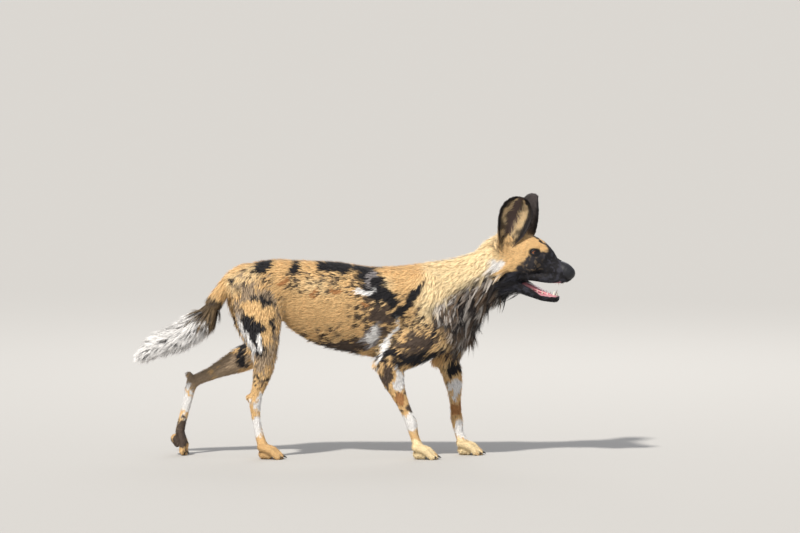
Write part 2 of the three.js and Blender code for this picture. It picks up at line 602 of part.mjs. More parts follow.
// The middle, half width, half depth and heading at a share of the way along rows of stations.
function along(rows, share) {
  const place = Math.min(share, 1) * (rows.length - 1);
  const i = Math.min(Math.floor(place), rows.length - 2);
  const [x, y, z, wide, deep] = rows[i].map((v, m) => v + (rows[i + 1][m] - v) * (place - i));
  const heading = vector(add(rows[i + 1], rows[i], -1)).normalize();
  return { middle: vector([x, y, z]), wide, deep, heading, up: new THREE.Vector3(-heading.z, 0, heading.x).normalize() };
}

// A lock whose rings lie at shares `start` to `start + reach` of the rows, at an angle around them.
function lockOn(rows, start, reach, turn, halfWidth, height) {
  const stations = LOCK.map((ring) => {
    const { middle, wide, deep, up } = along(rows, start + reach * ring.along);
    const far = height(wide, deep, ring.out);
    const p = middle.add(new THREE.Vector3(0, Math.cos(turn) * far.wide, 0)).addScaledVector(up, Math.sin(turn) * far.deep);
    return [...p.toArray(), halfWidth * ring.wide, ring.thick];
  });
  const { up } = along(rows, start);
  const across = new THREE.Vector3(0, -Math.sin(turn), 0).addScaledVector(up, Math.cos(turn));
  return solid(loft(stations, 4, { across: across.toArray() }));
}

function tailLocks() {
  const rows = smooth(TAIL_BRUSH, 3);
  const [rings, around] = [6, 5];
  const locks = [];
  for (let i = 0; i < rings; i++) for (let j = 0; j < around; j++) {
    const turn = (2 * Math.PI * (j + 0.5 * (i % 2) + between(-0.2, 0.2))) / around;
    const shrink = i > 3 ? 0.8 : 1;
    const height = (wide, deep, out) => ({ wide: wide * out, deep: deep * out });
    locks.push(lockOn(rows, 0.02 + 0.135 * i + between(-0.02, 0.02), between(0.3, 0.38), turn, between(16, 20) * shrink, height));
  }
  return locks;
}

// The ruff under the throat and down the sides of the neck, lying back towards the chest.
const RUFF_DEPTH = 17; // from the flesh out to the tips
function neckLocks() {
  const rows = smooth(NECK.slice(1), 3).reverse();
  const [rings, around] = [4, 7];
  const locks = [];
  for (let i = 0; i < rings; i++) for (let j = 0; j < around; j++) {
    const fromBelow = 105 * ((2 * (j + 0.5 * (i % 2) + between(-0.15, 0.15))) / (around - 0.5) - 1);
    const turn = THREE.MathUtils.degToRad(90 + fromBelow);
    const height = (wide, deep, out) => ({ wide: wide - 16 + (RUFF_DEPTH + 16) * out, deep: deep - 16 + (RUFF_DEPTH + 16) * out });
    locks.push(lockOn(rows, 0.02 + 0.13 * i + between(-0.02, 0.02), between(0.32, 0.4), turn, between(13, 17), height));
  }
  return locks;
}

// Making the parts
const weight = ([x, y, z]) => {
  const near = (p, r) => Math.max(0, 1 - Math.hypot(x - p[0], y - p[1], z - p[2]) / r);
  return 1 + 14 * near(inHead([110, 0, -30]), 150) + (z < 70 ? 5 : 0);
};
const rough = mesh(flesh, [-657, -123, -23], [640, 125, 700], FINE);
let trunk = largest(solid(geometryOf(thin(rough, TRIANGLES_OF_FLESH, weight))));
trunk = trunk.intersect(halfSpace([0, 0, 0], [0, 0, 1])); // the soles are flat where they meet the floor
const parts = []; // [node name, solid, material slot]

// A leg is what lies within a wider copy of its own limb, open to the side, and clear of the middle of the body.
function legRegion(leg) {
  const [room, outward] = [9, 30];
  const wider = smooth(leg.limb, 1).map(([x, y, z, w, h]) => [x, y + leg.side * outward, z, w + room + outward, h + 16]);
  const limb = tube(wider);
  const [hx, hy, hz, hr] = leg.heel;
  const foot = leg.toes_down ? footPoint(leg, [20, 0, 20]) : footPoint(leg, [20, 0, 15]);
  const field = (x, y, z) => melt(melt(limb(x, y, z), Math.hypot(x - hx, y - hy, z - hz) - hr - 14, 12),
    Math.hypot(x - foot[0], y - foot[1], z - foot[2]) - 62, 12);
  const rows = [...leg.limb, [...foot, 62, 62]];
  const low = [0, 1, 2].map((i) => Math.min(...rows.map((s) => s[i] - 110)));
  const high = [0, 1, 2].map((i) => Math.max(...rows.map((s) => s[i] + 110)));
  return thin(mesh(field, low, high, 10), 300, () => 1);
}
// The same surface moved out along its normals.
function swollen({ points, faces }, by) {
  const geometry = geometryOf({ points, faces });
  geometry.computeVertexNormals();
  const normals = geometry.attributes.normal;
  return { faces, points: points.map((p, i) => add(p, [normals.getX(i), normals.getY(i), normals.getZ(i)], by)) };
}

const LEG_NODES = { foreleg: ['upper_arm', 'forearm', 'foot'], hindleg: ['thigh', 'shank', 'foot'] };
for (const [name, leg] of Object.entries(LEGS)) {
  const region = legRegion(leg);
  const clear = (by) => halfSpace([0, leg.side * (5 - by), 0], [0, leg.side, 0]);
  const whole = largest(trunk.intersect(solid(geometryOf(region)).intersect(clear(0))));
  leg.room = solid(geometryOf(swollen(region, PART_GAP))).intersect(clear(PART_GAP));
  trunk = trunk.subtract(leg.room);
  const [high, low] = leg.joint;
  const heading = leg.toes_down ? [-0.83, 0, -0.55] : [0, 0, -1];
  const [upper, rest] = part(whole, high, heading);
  const [middle, bare] = part(rest, low, [-0.1, 0, -1]);
  const foot = clawsOf(leg).reduce((a, b) => a.add(b), bare);
  const [kind, side] = name.split('_');
  LEG_NODES[kind].forEach((piece, i) => parts.push([`${kind}_${side}_${piece}`, [upper, middle, largest(foot)][i], 'coat']));
}
trunk = largest(trunk);

let tail;
let headSolid;
let neck;
let rump;
let loin;
let chest;
const TAIL_CUT = [[-370, 0, 476], [-0.68, 0, -0.73]];
const HEAD_CUT = [inHead([-12, 0, 0]), turnedWithHead([0.99, 0, 0.1])];
const NECK_CUT = [[262, 0, 450], [0.87, 0, 0.5]];
[trunk, tail] = part(trunk, ...TAIL_CUT);
[trunk, headSolid] = part(trunk, ...HEAD_CUT);
[trunk, neck] = part(trunk, ...NECK_CUT);
[rump, trunk] = part(trunk, [-190, 0, 470], [1, 0, 0]);
[loin, chest] = part(trunk, [-40, 0, 420], [1, 0, 0]);

// The locks stay on their own side of the cuts and off the forelegs.
const fused = (locks) => solid(geometryOf(withoutShortEdges(wasm.Manifold.union(locks), SHORTEST_HAIR_EDGE)));
tail = largest(sides(fused([tail, ...tailLocks()]), ...TAIL_CUT)[1]);
let ruff = fused(neckLocks());
for (const leg of [LEGS.foreleg_right, LEGS.foreleg_left]) ruff = ruff.subtract(leg.room);
neck = largest(sides(sides(neck.add(ruff), ...NECK_CUT)[1], ...HEAD_CUT)[0]);
parts.push(['torso_rump', rump, 'coat'], ['torso_loin', loin, 'coat'], ['torso_chest', chest, 'coat']);
parts.push(['neck', neck, 'coat'], ['tail', tail, 'tail_hair']);

for (const [name, s] of [['right', -1], ['left', 1]]) {
  const { eyeball, lids, socket, opening } = eyeParts(s);
  headSolid = headSolid.add(lids).subtract(socket).subtract(opening).subtract(ear(s, PART_GAP));
  parts.push(['ear_' + name, ear(s), 'ear'], ['eye_' + name, eyeball, 'eye']);
}
let nose;
let jaw;
[headSolid, nose] = takeCorner(headSolid, inHead([194, 0, -52]), turnedWithHead([0.9, 0, 0.45]), [0, 0, 1]);
[headSolid, jaw] = takeCorner(headSolid, inHead(MOUTH_CORNER), turnedWithHead([-0.21, 0, -0.98]), turnedWithHead([0.94, 0, -0.35]));
for (const s of [-1, 1]) {
  const nostril = new THREE.SphereGeometry(1, 10, 8).scale(6, 3.4, 4.2).translate(...inHead([208, 8.5 * s, -34]));
  nose = nose.subtract(solid(nostril));
}
jaw = largest(lowerTeeth().reduce((a, b) => a.add(b), jaw.subtract(tongue(PART_GAP))));
headSolid = largest(headSolid.subtract(tongue(PART_GAP)));
parts.push(['head', headSolid, 'coat'], ['nose', nose, 'nose_skin'], ['lower_jaw', jaw, 'jaw_skin'], ['tongue', tongue(0), 'tongue']);

const paint = (color, roughness) => new THREE.MeshStandardMaterial({ color, roughness, metalness: 0 });
const materials = {
  coat: paint(0xb98a56, 0.9), tail_hair: paint(0xe6e1d8, 0.9), ear: paint(0x2b2724, 0.85), eye: paint(0x5a2c12, 0.1),
  nose_skin: paint(0x0d0d10, 0.35), jaw_skin: paint(0x1d1a1c, 0.6), tongue: paint(0xd98b94, 0.4),
};

// The origin is the middle of the bounding box, on the floor.
const whole = new THREE.Box3();
const geometries = parts.map(([, made]) => {
  const geometry = mergeVertices(geometryOf(withoutShortEdges(made, SHORTEST_EDGE)).toNonIndexed(), 1e-6);
  geometry.computeBoundingBox();
  whole.union(geometry.boundingBox);
  return geometry;
});
const middle = whole.getCenter(new THREE.Vector3());
const dog = new THREE.Group();
dog.name = 'african_wild_dog';
parts.forEach(([name, , slot], i) => {
  geometries[i].translate(-middle.x, -middle.y, -whole.min.z);
  geometries[i].computeVertexNormals();
  const node = new THREE.Mesh(geometries[i], materials[slot]);
  node.name = name;
  dog.add(node);
});

export default dog;
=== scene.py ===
# The look of an african wild dog in mid-stride: one skin over the whole body, a coat of tufts and locks in
# the same markings, ears, eyes, teeth, tongue, claws and whiskers, on a pale studio floor.
# The body's tables are in millimetres, in the same places as the solids. Scene objects are in metres.
import itertools
import math

import bmesh
import bpy
import numpy as np
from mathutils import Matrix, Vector


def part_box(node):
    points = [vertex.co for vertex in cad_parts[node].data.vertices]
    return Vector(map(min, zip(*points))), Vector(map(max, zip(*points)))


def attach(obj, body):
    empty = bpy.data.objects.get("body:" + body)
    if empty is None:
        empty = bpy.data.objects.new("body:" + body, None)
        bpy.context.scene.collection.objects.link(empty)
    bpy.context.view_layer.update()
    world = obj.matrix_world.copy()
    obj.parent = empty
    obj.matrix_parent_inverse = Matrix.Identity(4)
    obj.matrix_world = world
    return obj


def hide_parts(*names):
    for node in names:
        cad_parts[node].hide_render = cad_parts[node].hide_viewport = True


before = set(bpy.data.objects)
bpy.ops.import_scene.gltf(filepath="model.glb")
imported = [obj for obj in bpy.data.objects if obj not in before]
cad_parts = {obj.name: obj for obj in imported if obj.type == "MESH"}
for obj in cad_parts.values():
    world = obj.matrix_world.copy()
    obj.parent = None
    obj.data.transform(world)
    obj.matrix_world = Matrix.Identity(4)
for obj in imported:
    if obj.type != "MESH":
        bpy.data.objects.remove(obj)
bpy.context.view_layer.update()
rng = np.random.default_rng(17)

# The head: its place, its turn, and the eyes
HEAD_AT = np.array([414.0, -4.0, 562.0])
HEAD_YAW = math.radians(-22)
EYE_AT = (99.0, 33.0, 19.0)
EYE_RADIUS = 11.0
EYE_AXIS = (0.56, 0.8, 0.16)
EAR_ROOT = (14.0, 50.0, 36.0)
EAR_TIP = (78.0, 62.0, 172.0)
EAR_OPENS = (0.62, 0.78, 0.05)
EAR_LENGTH = 150.0
EAR_HALF_WIDTH = 47.0
COAT_DEPTH = 2.2

# Trunk: x, back line, belly line, half width
TRUNK = [
    (-318, 530, 452, 36), (-286, 546, 414, 55), (-230, 556, 402, 65), (-174, 554, 386, 66),
    (-118, 552, 338, 74), (-62, 549, 308, 82), (-6, 540, 295, 88), (50, 535, 284, 91),
    (106, 537, 276, 90), (162, 535, 274, 82), (210, 528, 292, 72), (245, 506, 336, 58),
]
# The rest: x, y, z, half width across the body, half depth in the side view
NECK = [
    (196, 0, 440, 62, 92), (250, 0, 452, 64, 98), (298, 0, 475, 59, 88),
    (342, -1, 500, 55, 77), (382, -3, 527, 53, 70), (414, -5, 550, 54, 64),
]
TAIL_ROOT = [(-318, 0, 508, 26, 30), (-350, 0, 496, 21, 25), (-378, 0, 466, 18, 22), (-400, 0, 434, 18, 24)]
TAIL_BRUSH = [
    (-384, 0, 452, 20, 27), (-410, 0, 414, 28, 36), (-444, 0, 376, 32, 40), (-482, 0, 344, 33, 39),
    (-524, 0, 325, 31, 36), (-566, 0, 309, 25, 29), (-598, 0, 288, 13, 16), (-616, 0, 272, 4, 5),
]
TAIL_CORE = 0.42  # the tail's flesh as a share of its brush
LEGS = {
    "foreleg_right": dict(side=-1, paw=(176, -60, 0), heel=(56, -66, 268, 13), limb=[
        (188, -50, 478, 22, 40), (244, -56, 374, 33, 52), (176, -64, 322, 31, 50), (100, -67, 280, 26, 44),
        (99, -66, 232, 21, 34), (112, -64, 194, 17, 24), (129, -62, 154, 14.5, 17.5),
        (143, -61, 122, 14.5, 16),
        (152, -60, 99, 16, 17), (160, -60, 66, 14, 13), (168, -60, 42, 17, 14)]),
    "foreleg_left": dict(side=1, paw=(302, 56, 0), heel=(220, 62, 264, 12), limb=[
        (221, 50, 470, 22, 40), (280, 56, 366, 31, 47), (266, 61, 312, 28, 40), (254, 62, 272, 24, 34),
        (264, 62, 236, 20, 29), (271, 61, 199, 17, 24), (274, 60, 165, 14.5, 18), (277, 59, 128, 14.5, 16),
        (280, 58, 97, 16, 17), (286, 57, 64, 14, 13), (294, 56, 42, 17, 14)]),
    "hindleg_right": dict(side=-1, paw=(-256, -55, 0), heel=(-303, -56, 174, 9), limb=[
        (-282, -38, 456, 30, 70), (-274, -46, 408, 33, 65), (-268, -50, 364, 31, 53),
        (-260, -54, 322, 27, 40),
        (-259, -57, 282, 22, 32), (-265, -58, 238, 17.5, 26), (-277, -58, 196, 14, 19),
        (-285, -57, 165, 14, 18),
        (-283, -56, 118, 12, 13), (-274, -55, 70, 13, 13), (-266, -55, 42, 17, 14)]),
    "hindleg_left": dict(side=1, paw=(-502, 52, 0), heel=(-472, 57, 228, 9), toes_down=52, limb=[
        (-300, 38, 446, 30, 66), (-288, 46, 392, 32, 60), (-276, 51, 342, 30, 48), (-280, 55, 298, 26, 40),
        (-322, 57, 270, 22, 36), (-362, 58, 252, 18, 28), (-412, 59, 228, 14, 19), (-462, 57, 203, 14, 16.5),
        (-477, 55, 150, 12, 13), (-491, 53, 100, 13, 13), (-498, 52, 70, 15, 13.5)]),
}
TIPTOE_BALL = 66.0
TIPTOE_PIVOT = (14.0, 36.0)  # the turning point of such a foot: behind and above the paw's middle
TOE_STAGGER = 9.0
TOE_SPREAD = (-1.5, -0.5, 0.5, 1.5)
TOE = dict(base=(-4, 9.5, 34, 11, 11), knuckle=(22, 12.2, 25, 9.5, 10.5), tip=(41, 13, 8, 8.5, 8.8))

# The head's own tables: x forward, y left, z up from the skull base
SKULL = [
    (-18, 0, 6, 50, 50), (18, 0, 22, 57, 53), (55, 0, 16, 57, 54), (85, 0, 8, 50, 50), (110, 0, -4, 38, 42),
    (130, 0, -19, 31, 34), (152, 0, -30, 28, 31), (174, 0, -36, 26, 29), (190, 0, -38, 21, 20),
]
CHEEK = [(28, 34, -22, 22, 30), (62, 40, -14, 22, 26), (88, 34, -18, 16, 20)]
JAW_ANGLE = [(42, 36, -34, 20, 26), (22, 32, -64, 19, 24)]
UPPER_LIP = [(62, 35, -48, 9, 10), (100, 31, -50, 9, 11), (140, 25, -55, 8, 11), (176, 19, -56, 8, 10)]
BROW = [(84, 30, 40, 12, 10), (104, 29, 31, 10, 8)]
EAR_MOUND = [(8, 40, 28, 24, 26), (22, 44, 45, 17, 16)]
JAW = [
    (26, 36, -64, 12, 16), (52, 32, -78, 11, 13), (84, 26, -93, 9, 11), (118, 18, -106, 8, 10),
    (150, 8, -109, 8, 10),
]
JAW_FLOOR = [(20, 0, -78, 34, 12), (70, 0, -98, 22, 8), (120, 0, -111, 14, 7), (148, 0, -113, 8, 7)]
THROAT = [(34, 0, -58, 32, 30), (-20, 0, -62, 44, 42)]
TONGUE = [
    (40, 0, -72, 15, 5), (58, 0, -72, 19, 7), (84, 0, -80, 19, 7), (112, 0, -92, 15, 6), (132, 0, -99, 10, 5),
    (143, 0, -102, 5, 3),
]

YAW_COS = math.cos(HEAD_YAW)
YAW_SIN = math.sin(HEAD_YAW)


def in_head(p):
    """From the head's own place to the body's."""
    p = np.atleast_2d(np.asarray(p, float))
    x = p[:, 0] * YAW_COS - p[:, 1] * YAW_SIN + HEAD_AT[0]
    y = p[:, 0] * YAW_SIN + p[:, 1] * YAW_COS + HEAD_AT[1]
    return np.column_stack([x, y, p[:, 2] + HEAD_AT[2]])


def turn_with_head(v):
    """Turns a direction as the head is turned."""
    return (in_head(v) - HEAD_AT)[0] if np.ndim(v) == 1 else in_head(v) - HEAD_AT


def to_head(p):
    """From the body's place to the head's own."""
    x, y, z = (p - HEAD_AT).T
    return np.column_stack([x * YAW_COS + y * YAW_SIN, -x * YAW_SIN + y * YAW_COS, z])


# The solids are centred on the floor. Their eye says how far that moved them.
eye_low, eye_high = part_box("eye_left")
SHIFT = np.array((eye_low + eye_high) / 2) * 1000 - in_head(EYE_AT)[0]


def metres(p):
    """From the tables' place in mm to the frame's in metres."""
    return (np.asarray(p, float) + SHIFT) / 1000


def millimetres(p):
    return np.asarray(p, float) * 1000 - SHIFT


TINY = 1e-9


def unit(v):
    return v / (np.linalg.norm(v, axis=1, keepdims=True) + TINY)


def one_unit(v):
    return unit(v[None])[0]


def along_surface(v, n):
    return v - (v * n).sum(1)[:, None] * n


# Curves and fields
def smooth(rows, per):
    """A smooth curve through rows of numbers, with `per` points to each stretch."""
    rows = np.asarray(rows, float)
    padded = np.vstack([rows[:1], rows, rows[-1:]])
    out = []
    for i in range(len(rows) - 1):
        a, b, c, d = padded[i:i + 4]
        for t in np.arange(per) / per:
            out.append(b + 0.5 * t * (c - a + t * (2 * a - 5 * b + 4 * c - d + t * (3 * (b - c) + d - a))))
    out.append(rows[-1])
    return np.array(out)


def melt(a, b, k):
    """Joins two distances, rounded off over about `k`."""
    h = np.maximum(k - np.abs(a - b), 0) / k
    return np.minimum(a, b) - h * h * k / 4


class Tube:
    """A tapered elliptical tube through stations of x, y, z, half width and half depth."""

    REACH = 70.0

    def __init__(self, stations, keel=0.0, both_sides=False):
        self.rows = np.asarray(stations, float)
        self.keel = keel
        self.both = both_sides
        size = self.rows[:, 3:].max(1)[:, None]
        self.low = (self.rows[:, :3] - size).min(0) - self.REACH
        self.high = (self.rows[:, :3] + size).max(0) + self.REACH

    def nearest(self, p):
        """The distance of each point from the tube, and which way the tube runs there."""
        q = p.copy()
        if self.both:
            q[:, 1] = np.abs(q[:, 1])
        found = np.full(len(p), self.REACH)
        way = np.zeros((len(p), 3))
        near = np.flatnonzero(((q > self.low) & (q < self.high)).all(1))
        if not len(near):
            return found, way
        q = q[near]
        best = np.full(len(near), self.REACH)
        run = np.zeros((len(near), 3))
        for a, b in zip(self.rows[:-1], self.rows[1:]):
            axis = b[:3] - a[:3]
            length = math.hypot(axis[0], axis[2]) or 1.0
            t = np.clip((q - a[:3]) @ axis / (axis @ axis), 0, 1)
            r = q - a[:3] - t[:, None] * axis
            deep = a[4] + t * (b[4] - a[4])
            up = np.clip((r[:, 0] * -axis[2] + r[:, 2] * axis[0]) / length / deep, -1, 1)
            wide = (a[3] + t * (b[3] - a[3])) * (1 + self.keel * up)
            flat = r[:, 0] ** 2 + r[:, 2] ** 2
            y = r[:, 1] ** 2
            k0 = np.sqrt(y / wide ** 2 + flat / deep ** 2)
            k1 = np.sqrt(y / wide ** 4 + flat / deep ** 4)
            d = np.where(k1 > TINY, k0 * (k0 - 1) / np.maximum(k1, TINY), -np.minimum(wide, deep))
            closer = d < best
            best[closer] = d[closer]
            run[closer] = axis / np.linalg.norm(axis)
        if self.both:
            run[:, 1] *= np.sign(p[near, 1])
        found[near] = best
        way[near] = run
        return found, way

    def __call__(self, p):
        return self.nearest(p)[0]


# How finely a table's rows are rounded, and how much wider each form is above its middle than below
BODY_STEPS = 3
FACE_STEPS = 2
TRUNK_KEEL = 0.16
NECK_KEEL = -0.04
SKULL_KEEL = -0.06
trunk_rows = [(x, 0, (back + belly) / 2, wide, (back - belly) / 2) for x, back, belly, wide in TRUNK]
trunk = Tube(smooth(trunk_rows, BODY_STEPS), TRUNK_KEEL)
neck = Tube(smooth(NECK, BODY_STEPS), NECK_KEEL)
tail_root = Tube(smooth(TAIL_ROOT, BODY_STEPS))
core_rows = [(x, y, z, w * TAIL_CORE, h * TAIL_CORE) for x, y, z, w, h in TAIL_BRUSH]
tail_core = Tube(smooth(core_rows, BODY_STEPS))
skull = Tube(smooth(SKULL, BODY_STEPS), SKULL_KEEL)
HEAD_FORMS = [  # form, how softly it melts into the rest
    (Tube(smooth(CHEEK, FACE_STEPS), both_sides=True), 16), (Tube(JAW_ANGLE, both_sides=True), 16),
    (Tube(EAR_MOUND, both_sides=True), 16), (Tube(BROW, both_sides=True), 10),
    (Tube(smooth(UPPER_LIP, FACE_STEPS), both_sides=True), 9),
]
jaw = Tube(smooth(JAW, FACE_STEPS), both_sides=True)
jaw_floor = Tube(smooth(JAW_FLOOR, FACE_STEPS))
throat = Tube(THROAT)


def foot_point(leg, place):
    """A place in a foot's own frame, turned down where the foot stands on its toes."""
    forward, across, up, *size = place
    x, y, z = leg["paw"]
    if "toes_down" not in leg:
        return (x + forward, y + across, z + up, *size)
    turn = math.radians(leg["toes_down"])
    f, u = forward + TIPTOE_PIVOT[0], up - TIPTOE_PIVOT[1]
    ahead = f * math.cos(turn) + u * math.sin(turn)
    above = u * math.cos(turn) - f * math.sin(turn)
    return (x + 4 + ahead, y + across, z + TIPTOE_BALL + above, *size)


def toe_row(leg, i, place):
    forward, across, up, *size = place
    return foot_point(leg, (forward - max(0, abs(i) - 0.5) * TOE_STAGGER, across * i, up, *size))


# The foot's pad, in the foot's own frame
PAD = ((-6, 0, 14, 19, 14.5), (6, 0, 11, 18, 12))


def leg_forms(leg):
    limb = smooth(leg["limb"], BODY_STEPS)
    heel = np.array(leg["heel"][:3], float)
    near = min(leg["limb"], key=lambda s: np.linalg.norm(np.array(s[:3]) - heel))
    heel_rows = [(*near[:3], near[3] * 0.8, near[4] * 0.7), (*leg["heel"], leg["heel"][3])]
    toes = [Tube([toe_row(leg, i, TOE[key]) for key in ("base", "knuckle", "tip")]) for i in TOE_SPREAD]
    pad = Tube([foot_point(leg, row) for row in PAD])
    return Tube(limb), Tube(heel_rows), toes, pad


for leg in LEGS.values():
    leg["forms"] = leg_forms(leg)

# How softly each form melts into the rest
SOFT_HEEL = 10
SOFT_PAD = 10
SOFT_TOE = 3
SOFT_TOES = 7
SOFT_JAW = 10
SOFT_THROAT = 14
SOFT_NECK = 46
SOFT_HEAD = 24
SOFT_TAIL_ROOT = 22
SOFT_TAIL = 12
SOFT_LEG = 30
FOOT_TOP = 120
HEAD_REACH = (-130, 270)


def leg_field(leg, p):
    limb, heel, toes, pad = leg["forms"]
    d = melt(limb(p), heel(p), SOFT_HEEL)
    low = np.flatnonzero(p[:, 2] < FOOT_TOP)
    q = p[low]
    foot = melt(d[low], pad(q), SOFT_PAD)
    toe = np.full(len(low), Tube.REACH)
    for one in toes:
        toe = melt(toe, one(q), SOFT_TOE)
    d[low] = melt(foot, toe, SOFT_TOES)
    return d


def ball_distance(p, centre, radii):
    q = (p - centre) / radii
    k = np.linalg.norm(q, axis=1)
    return (k - 1) * min(radii)


def head_field(p):
    d = np.full(len(p), Tube.REACH)
    q = to_head(p)
    near = np.flatnonzero((q[:, 0] > HEAD_REACH[0]) & (q[:, 0] < HEAD_REACH[1]))
    q = q[near]
    e = skull(q)
    for form, softness in HEAD_FORMS:
        e = melt(e, form(q), softness)
    lower = melt(melt(jaw(q), jaw_floor(q), SOFT_JAW), throat(q), SOFT_THROAT)
    d[near] = melt(e, lower, SOFT_JAW)
    return d


def flesh(p):
    core = melt(trunk(p), neck(p), SOFT_NECK)
    core = melt(core, head_field(p), SOFT_HEAD)
    core = melt(core, tail_root(p), SOFT_TAIL_ROOT)
    core = melt(core, tail_core(p), SOFT_TAIL)
    d = core.copy()
    for leg in LEGS.values():
        d = np.minimum(d, melt(core, leg_field(leg, p), SOFT_LEG))
    return d


# Balls cut out of the skin: their middles and radii
HOLLOWS = [(in_head((EYE_AT[0], EYE_AT[1] * s, EYE_AT[2]))[0], (11.3, 11.3, 11.3)) for s in (-1, 1)]
HOLLOWS += [(in_head((209, 9.5 * s, -34))[0], (6.0, 3.0, 4.0)) for s in (-1, 1)]
SOLE = 0.6


def coat_depth(p):
    """How far the skin lies below the coat's outline."""
    q = to_head(p)
    on_face = np.clip((q[:, 0] - 20) / 60, 0, 1) * (q[:, 2] > -140)
    on_foot = np.clip((90 - p[:, 2]) / 60, 0, 1)
    return COAT_DEPTH * (1 - 0.65 * np.maximum(on_face, on_foot))


def skin_field(p):
    d = flesh(p) + coat_depth(p)
    for centre, radii in HOLLOWS:
        d = np.maximum(d, -ball_distance(p, centre, radii))
    return np.maximum(d, SOLE - p[:, 2])


def slope(field, p, e=0.6):
    steps = np.eye(3) * e
    return np.column_stack([(field(p + s) - field(p - s)) / (2 * e) for s in steps])


# Meshing the skin
FAR_OFF = 99.0
NEAR_BLOCKS = 1.8


def net(field, low, high, step, coarse):
    """The quads of a field's zero surface. Only blocks near the surface are worked out finely."""
    cells = np.ceil((np.array(high) - low) / (step * coarse)).astype(int)
    big = [low[i] + np.arange(cells[i] + 1) * step * coarse for i in range(3)]
    at = np.stack(np.meshgrid(*big, indexing="ij"), -1)
    rough = field(at.reshape(-1, 3)).reshape(at.shape[:3])
    n = cells * coarse + 1
    value = np.repeat(np.repeat(np.repeat(rough, coarse, 0), coarse, 1), coarse, 2)[:n[0], :n[1], :n[2]]
    value = np.where(value < 0, -FAR_OFF, FAR_OFF).astype(np.float32)
    eight = list(itertools.product((0, 1), repeat=3))
    corners = np.stack([rough[i:i + cells[0], j:j + cells[1], k:k + cells[2]] for i, j, k in eight])
    close = np.abs(corners).min(0) < step * coarse * NEAR_BLOCKS
    fine = np.repeat(np.repeat(np.repeat(close, coarse, 0), coarse, 1), coarse, 2)
    mask = np.zeros(n, bool)
    for i, j, k in eight:
        mask[i:i + n[0] - 1, j:j + n[1] - 1, k:k + n[2] - 1] |= fine
    where = np.argwhere(mask)
    value[mask] = field(np.array(low) + where * step)
    inside = value < 0
    total = np.zeros((n[0] - 1, n[1] - 1, n[2] - 1, 3), np.float32)
    count = np.zeros((n[0] - 1, n[1] - 1, n[2] - 1), np.int16)
    crossings = []
    for axis in range(3):
        a = [slice(None)] * 3
        b = [slice(None)] * 3
        a[axis] = slice(0, -1)
        b[axis] = slice(1, None)
        crossed = np.argwhere(inside[tuple(a)] != inside[tuple(b)])
        nearer = value[tuple(crossed.T)]
        farther = value[tuple((crossed + np.eye(3, dtype=int)[axis]).T)]
        place = crossed.astype(np.float32)
        place[:, axis] += nearer / (nearer - farther)
        u, v = (axis + 1) % 3, (axis + 2) % 3
        kept = ((crossed[:, [u, v]] > 0) & (crossed[:, [u, v]] < n[[u, v]] - 1)).all(1)
        crossed, place, nearer = crossed[kept], place[kept], nearer[kept]
        ring = []
        for du, dv in ((0, 0), (1, 0), (1, 1), (0, 1)):
            cell = crossed.copy()
            cell[:, u] -= du
            cell[:, v] -= dv
            np.add.at(total, tuple(cell.T), place)
            np.add.at(count, tuple(cell.T), 1)
            ring.append(cell)
        crossings.append((ring, nearer < 0))
    used = count > 0
    number = np.full(count.shape, -1, np.int64)
    number[used] = np.arange(used.sum())
    points = np.array(low) + total[used] / count[used][:, None] * step
    quads = []
    for ring, outward in crossings:
        quad = np.column_stack([number[tuple(c.T)] for c in ring])
        quads.append(np.where(outward[:, None], quad, quad[:, ::-1]))
    return points, np.vstack(quads)


def settle(field, p, turns):
    """Moves points onto the field's zero surface."""
    for _ in range(turns):
        d = field(p)
        g = slope(field, p)
        size = (g * g).sum(1)
        move = np.clip(d / np.maximum(size, 0.1), -2, 2)
        p = p - np.where(size[:, None] > 0.05, move[:, None] * g, 0)
    return p


def read(items, attribute, width=1, kind=float):
    """One attribute of all items of a mesh, in rows of `width` numbers."""
    values = np.empty(len(items) * width, kind)
    items.foreach_get(attribute, values)
    return values.reshape(-1, width) if width > 1 else values


def new_object(name, points, faces):
    """A smooth mesh object. `faces` is a list of arrays, each of faces with as many corners."""
    mesh = bpy.data.meshes.new(name)
    mesh.vertices.add(len(points))
    mesh.vertices.foreach_set("co", metres(points).ravel())
    loops = np.concatenate([f.ravel() for f in faces])
    sizes = np.concatenate([np.full(len(f), f.shape[1]) for f in faces])
    mesh.loops.add(len(loops))
    mesh.loops.foreach_set("vertex_index", loops.astype(np.int32))
    mesh.polygons.add(len(sizes))
    starts = np.concatenate([[0], np.cumsum(sizes)[:-1]])
    mesh.polygons.foreach_set("loop_start", starts.astype(np.int32))
    mesh.update(calc_edges=True)
    mesh.polygons.foreach_set("use_smooth", np.full(len(sizes), True))
    mesh.validate()
    obj = bpy.data.objects.new(name, mesh)
    bpy.context.scene.collection.objects.link(obj)
    return obj


# Colours, as seen on a screen, turned to linear light
def tone(r, g, b):
    c = np.array([r, g, b]) / 255
    return np.where(c <= 0.04045, c / 12.92, ((c + 0.055) / 1.055) ** 2.4)


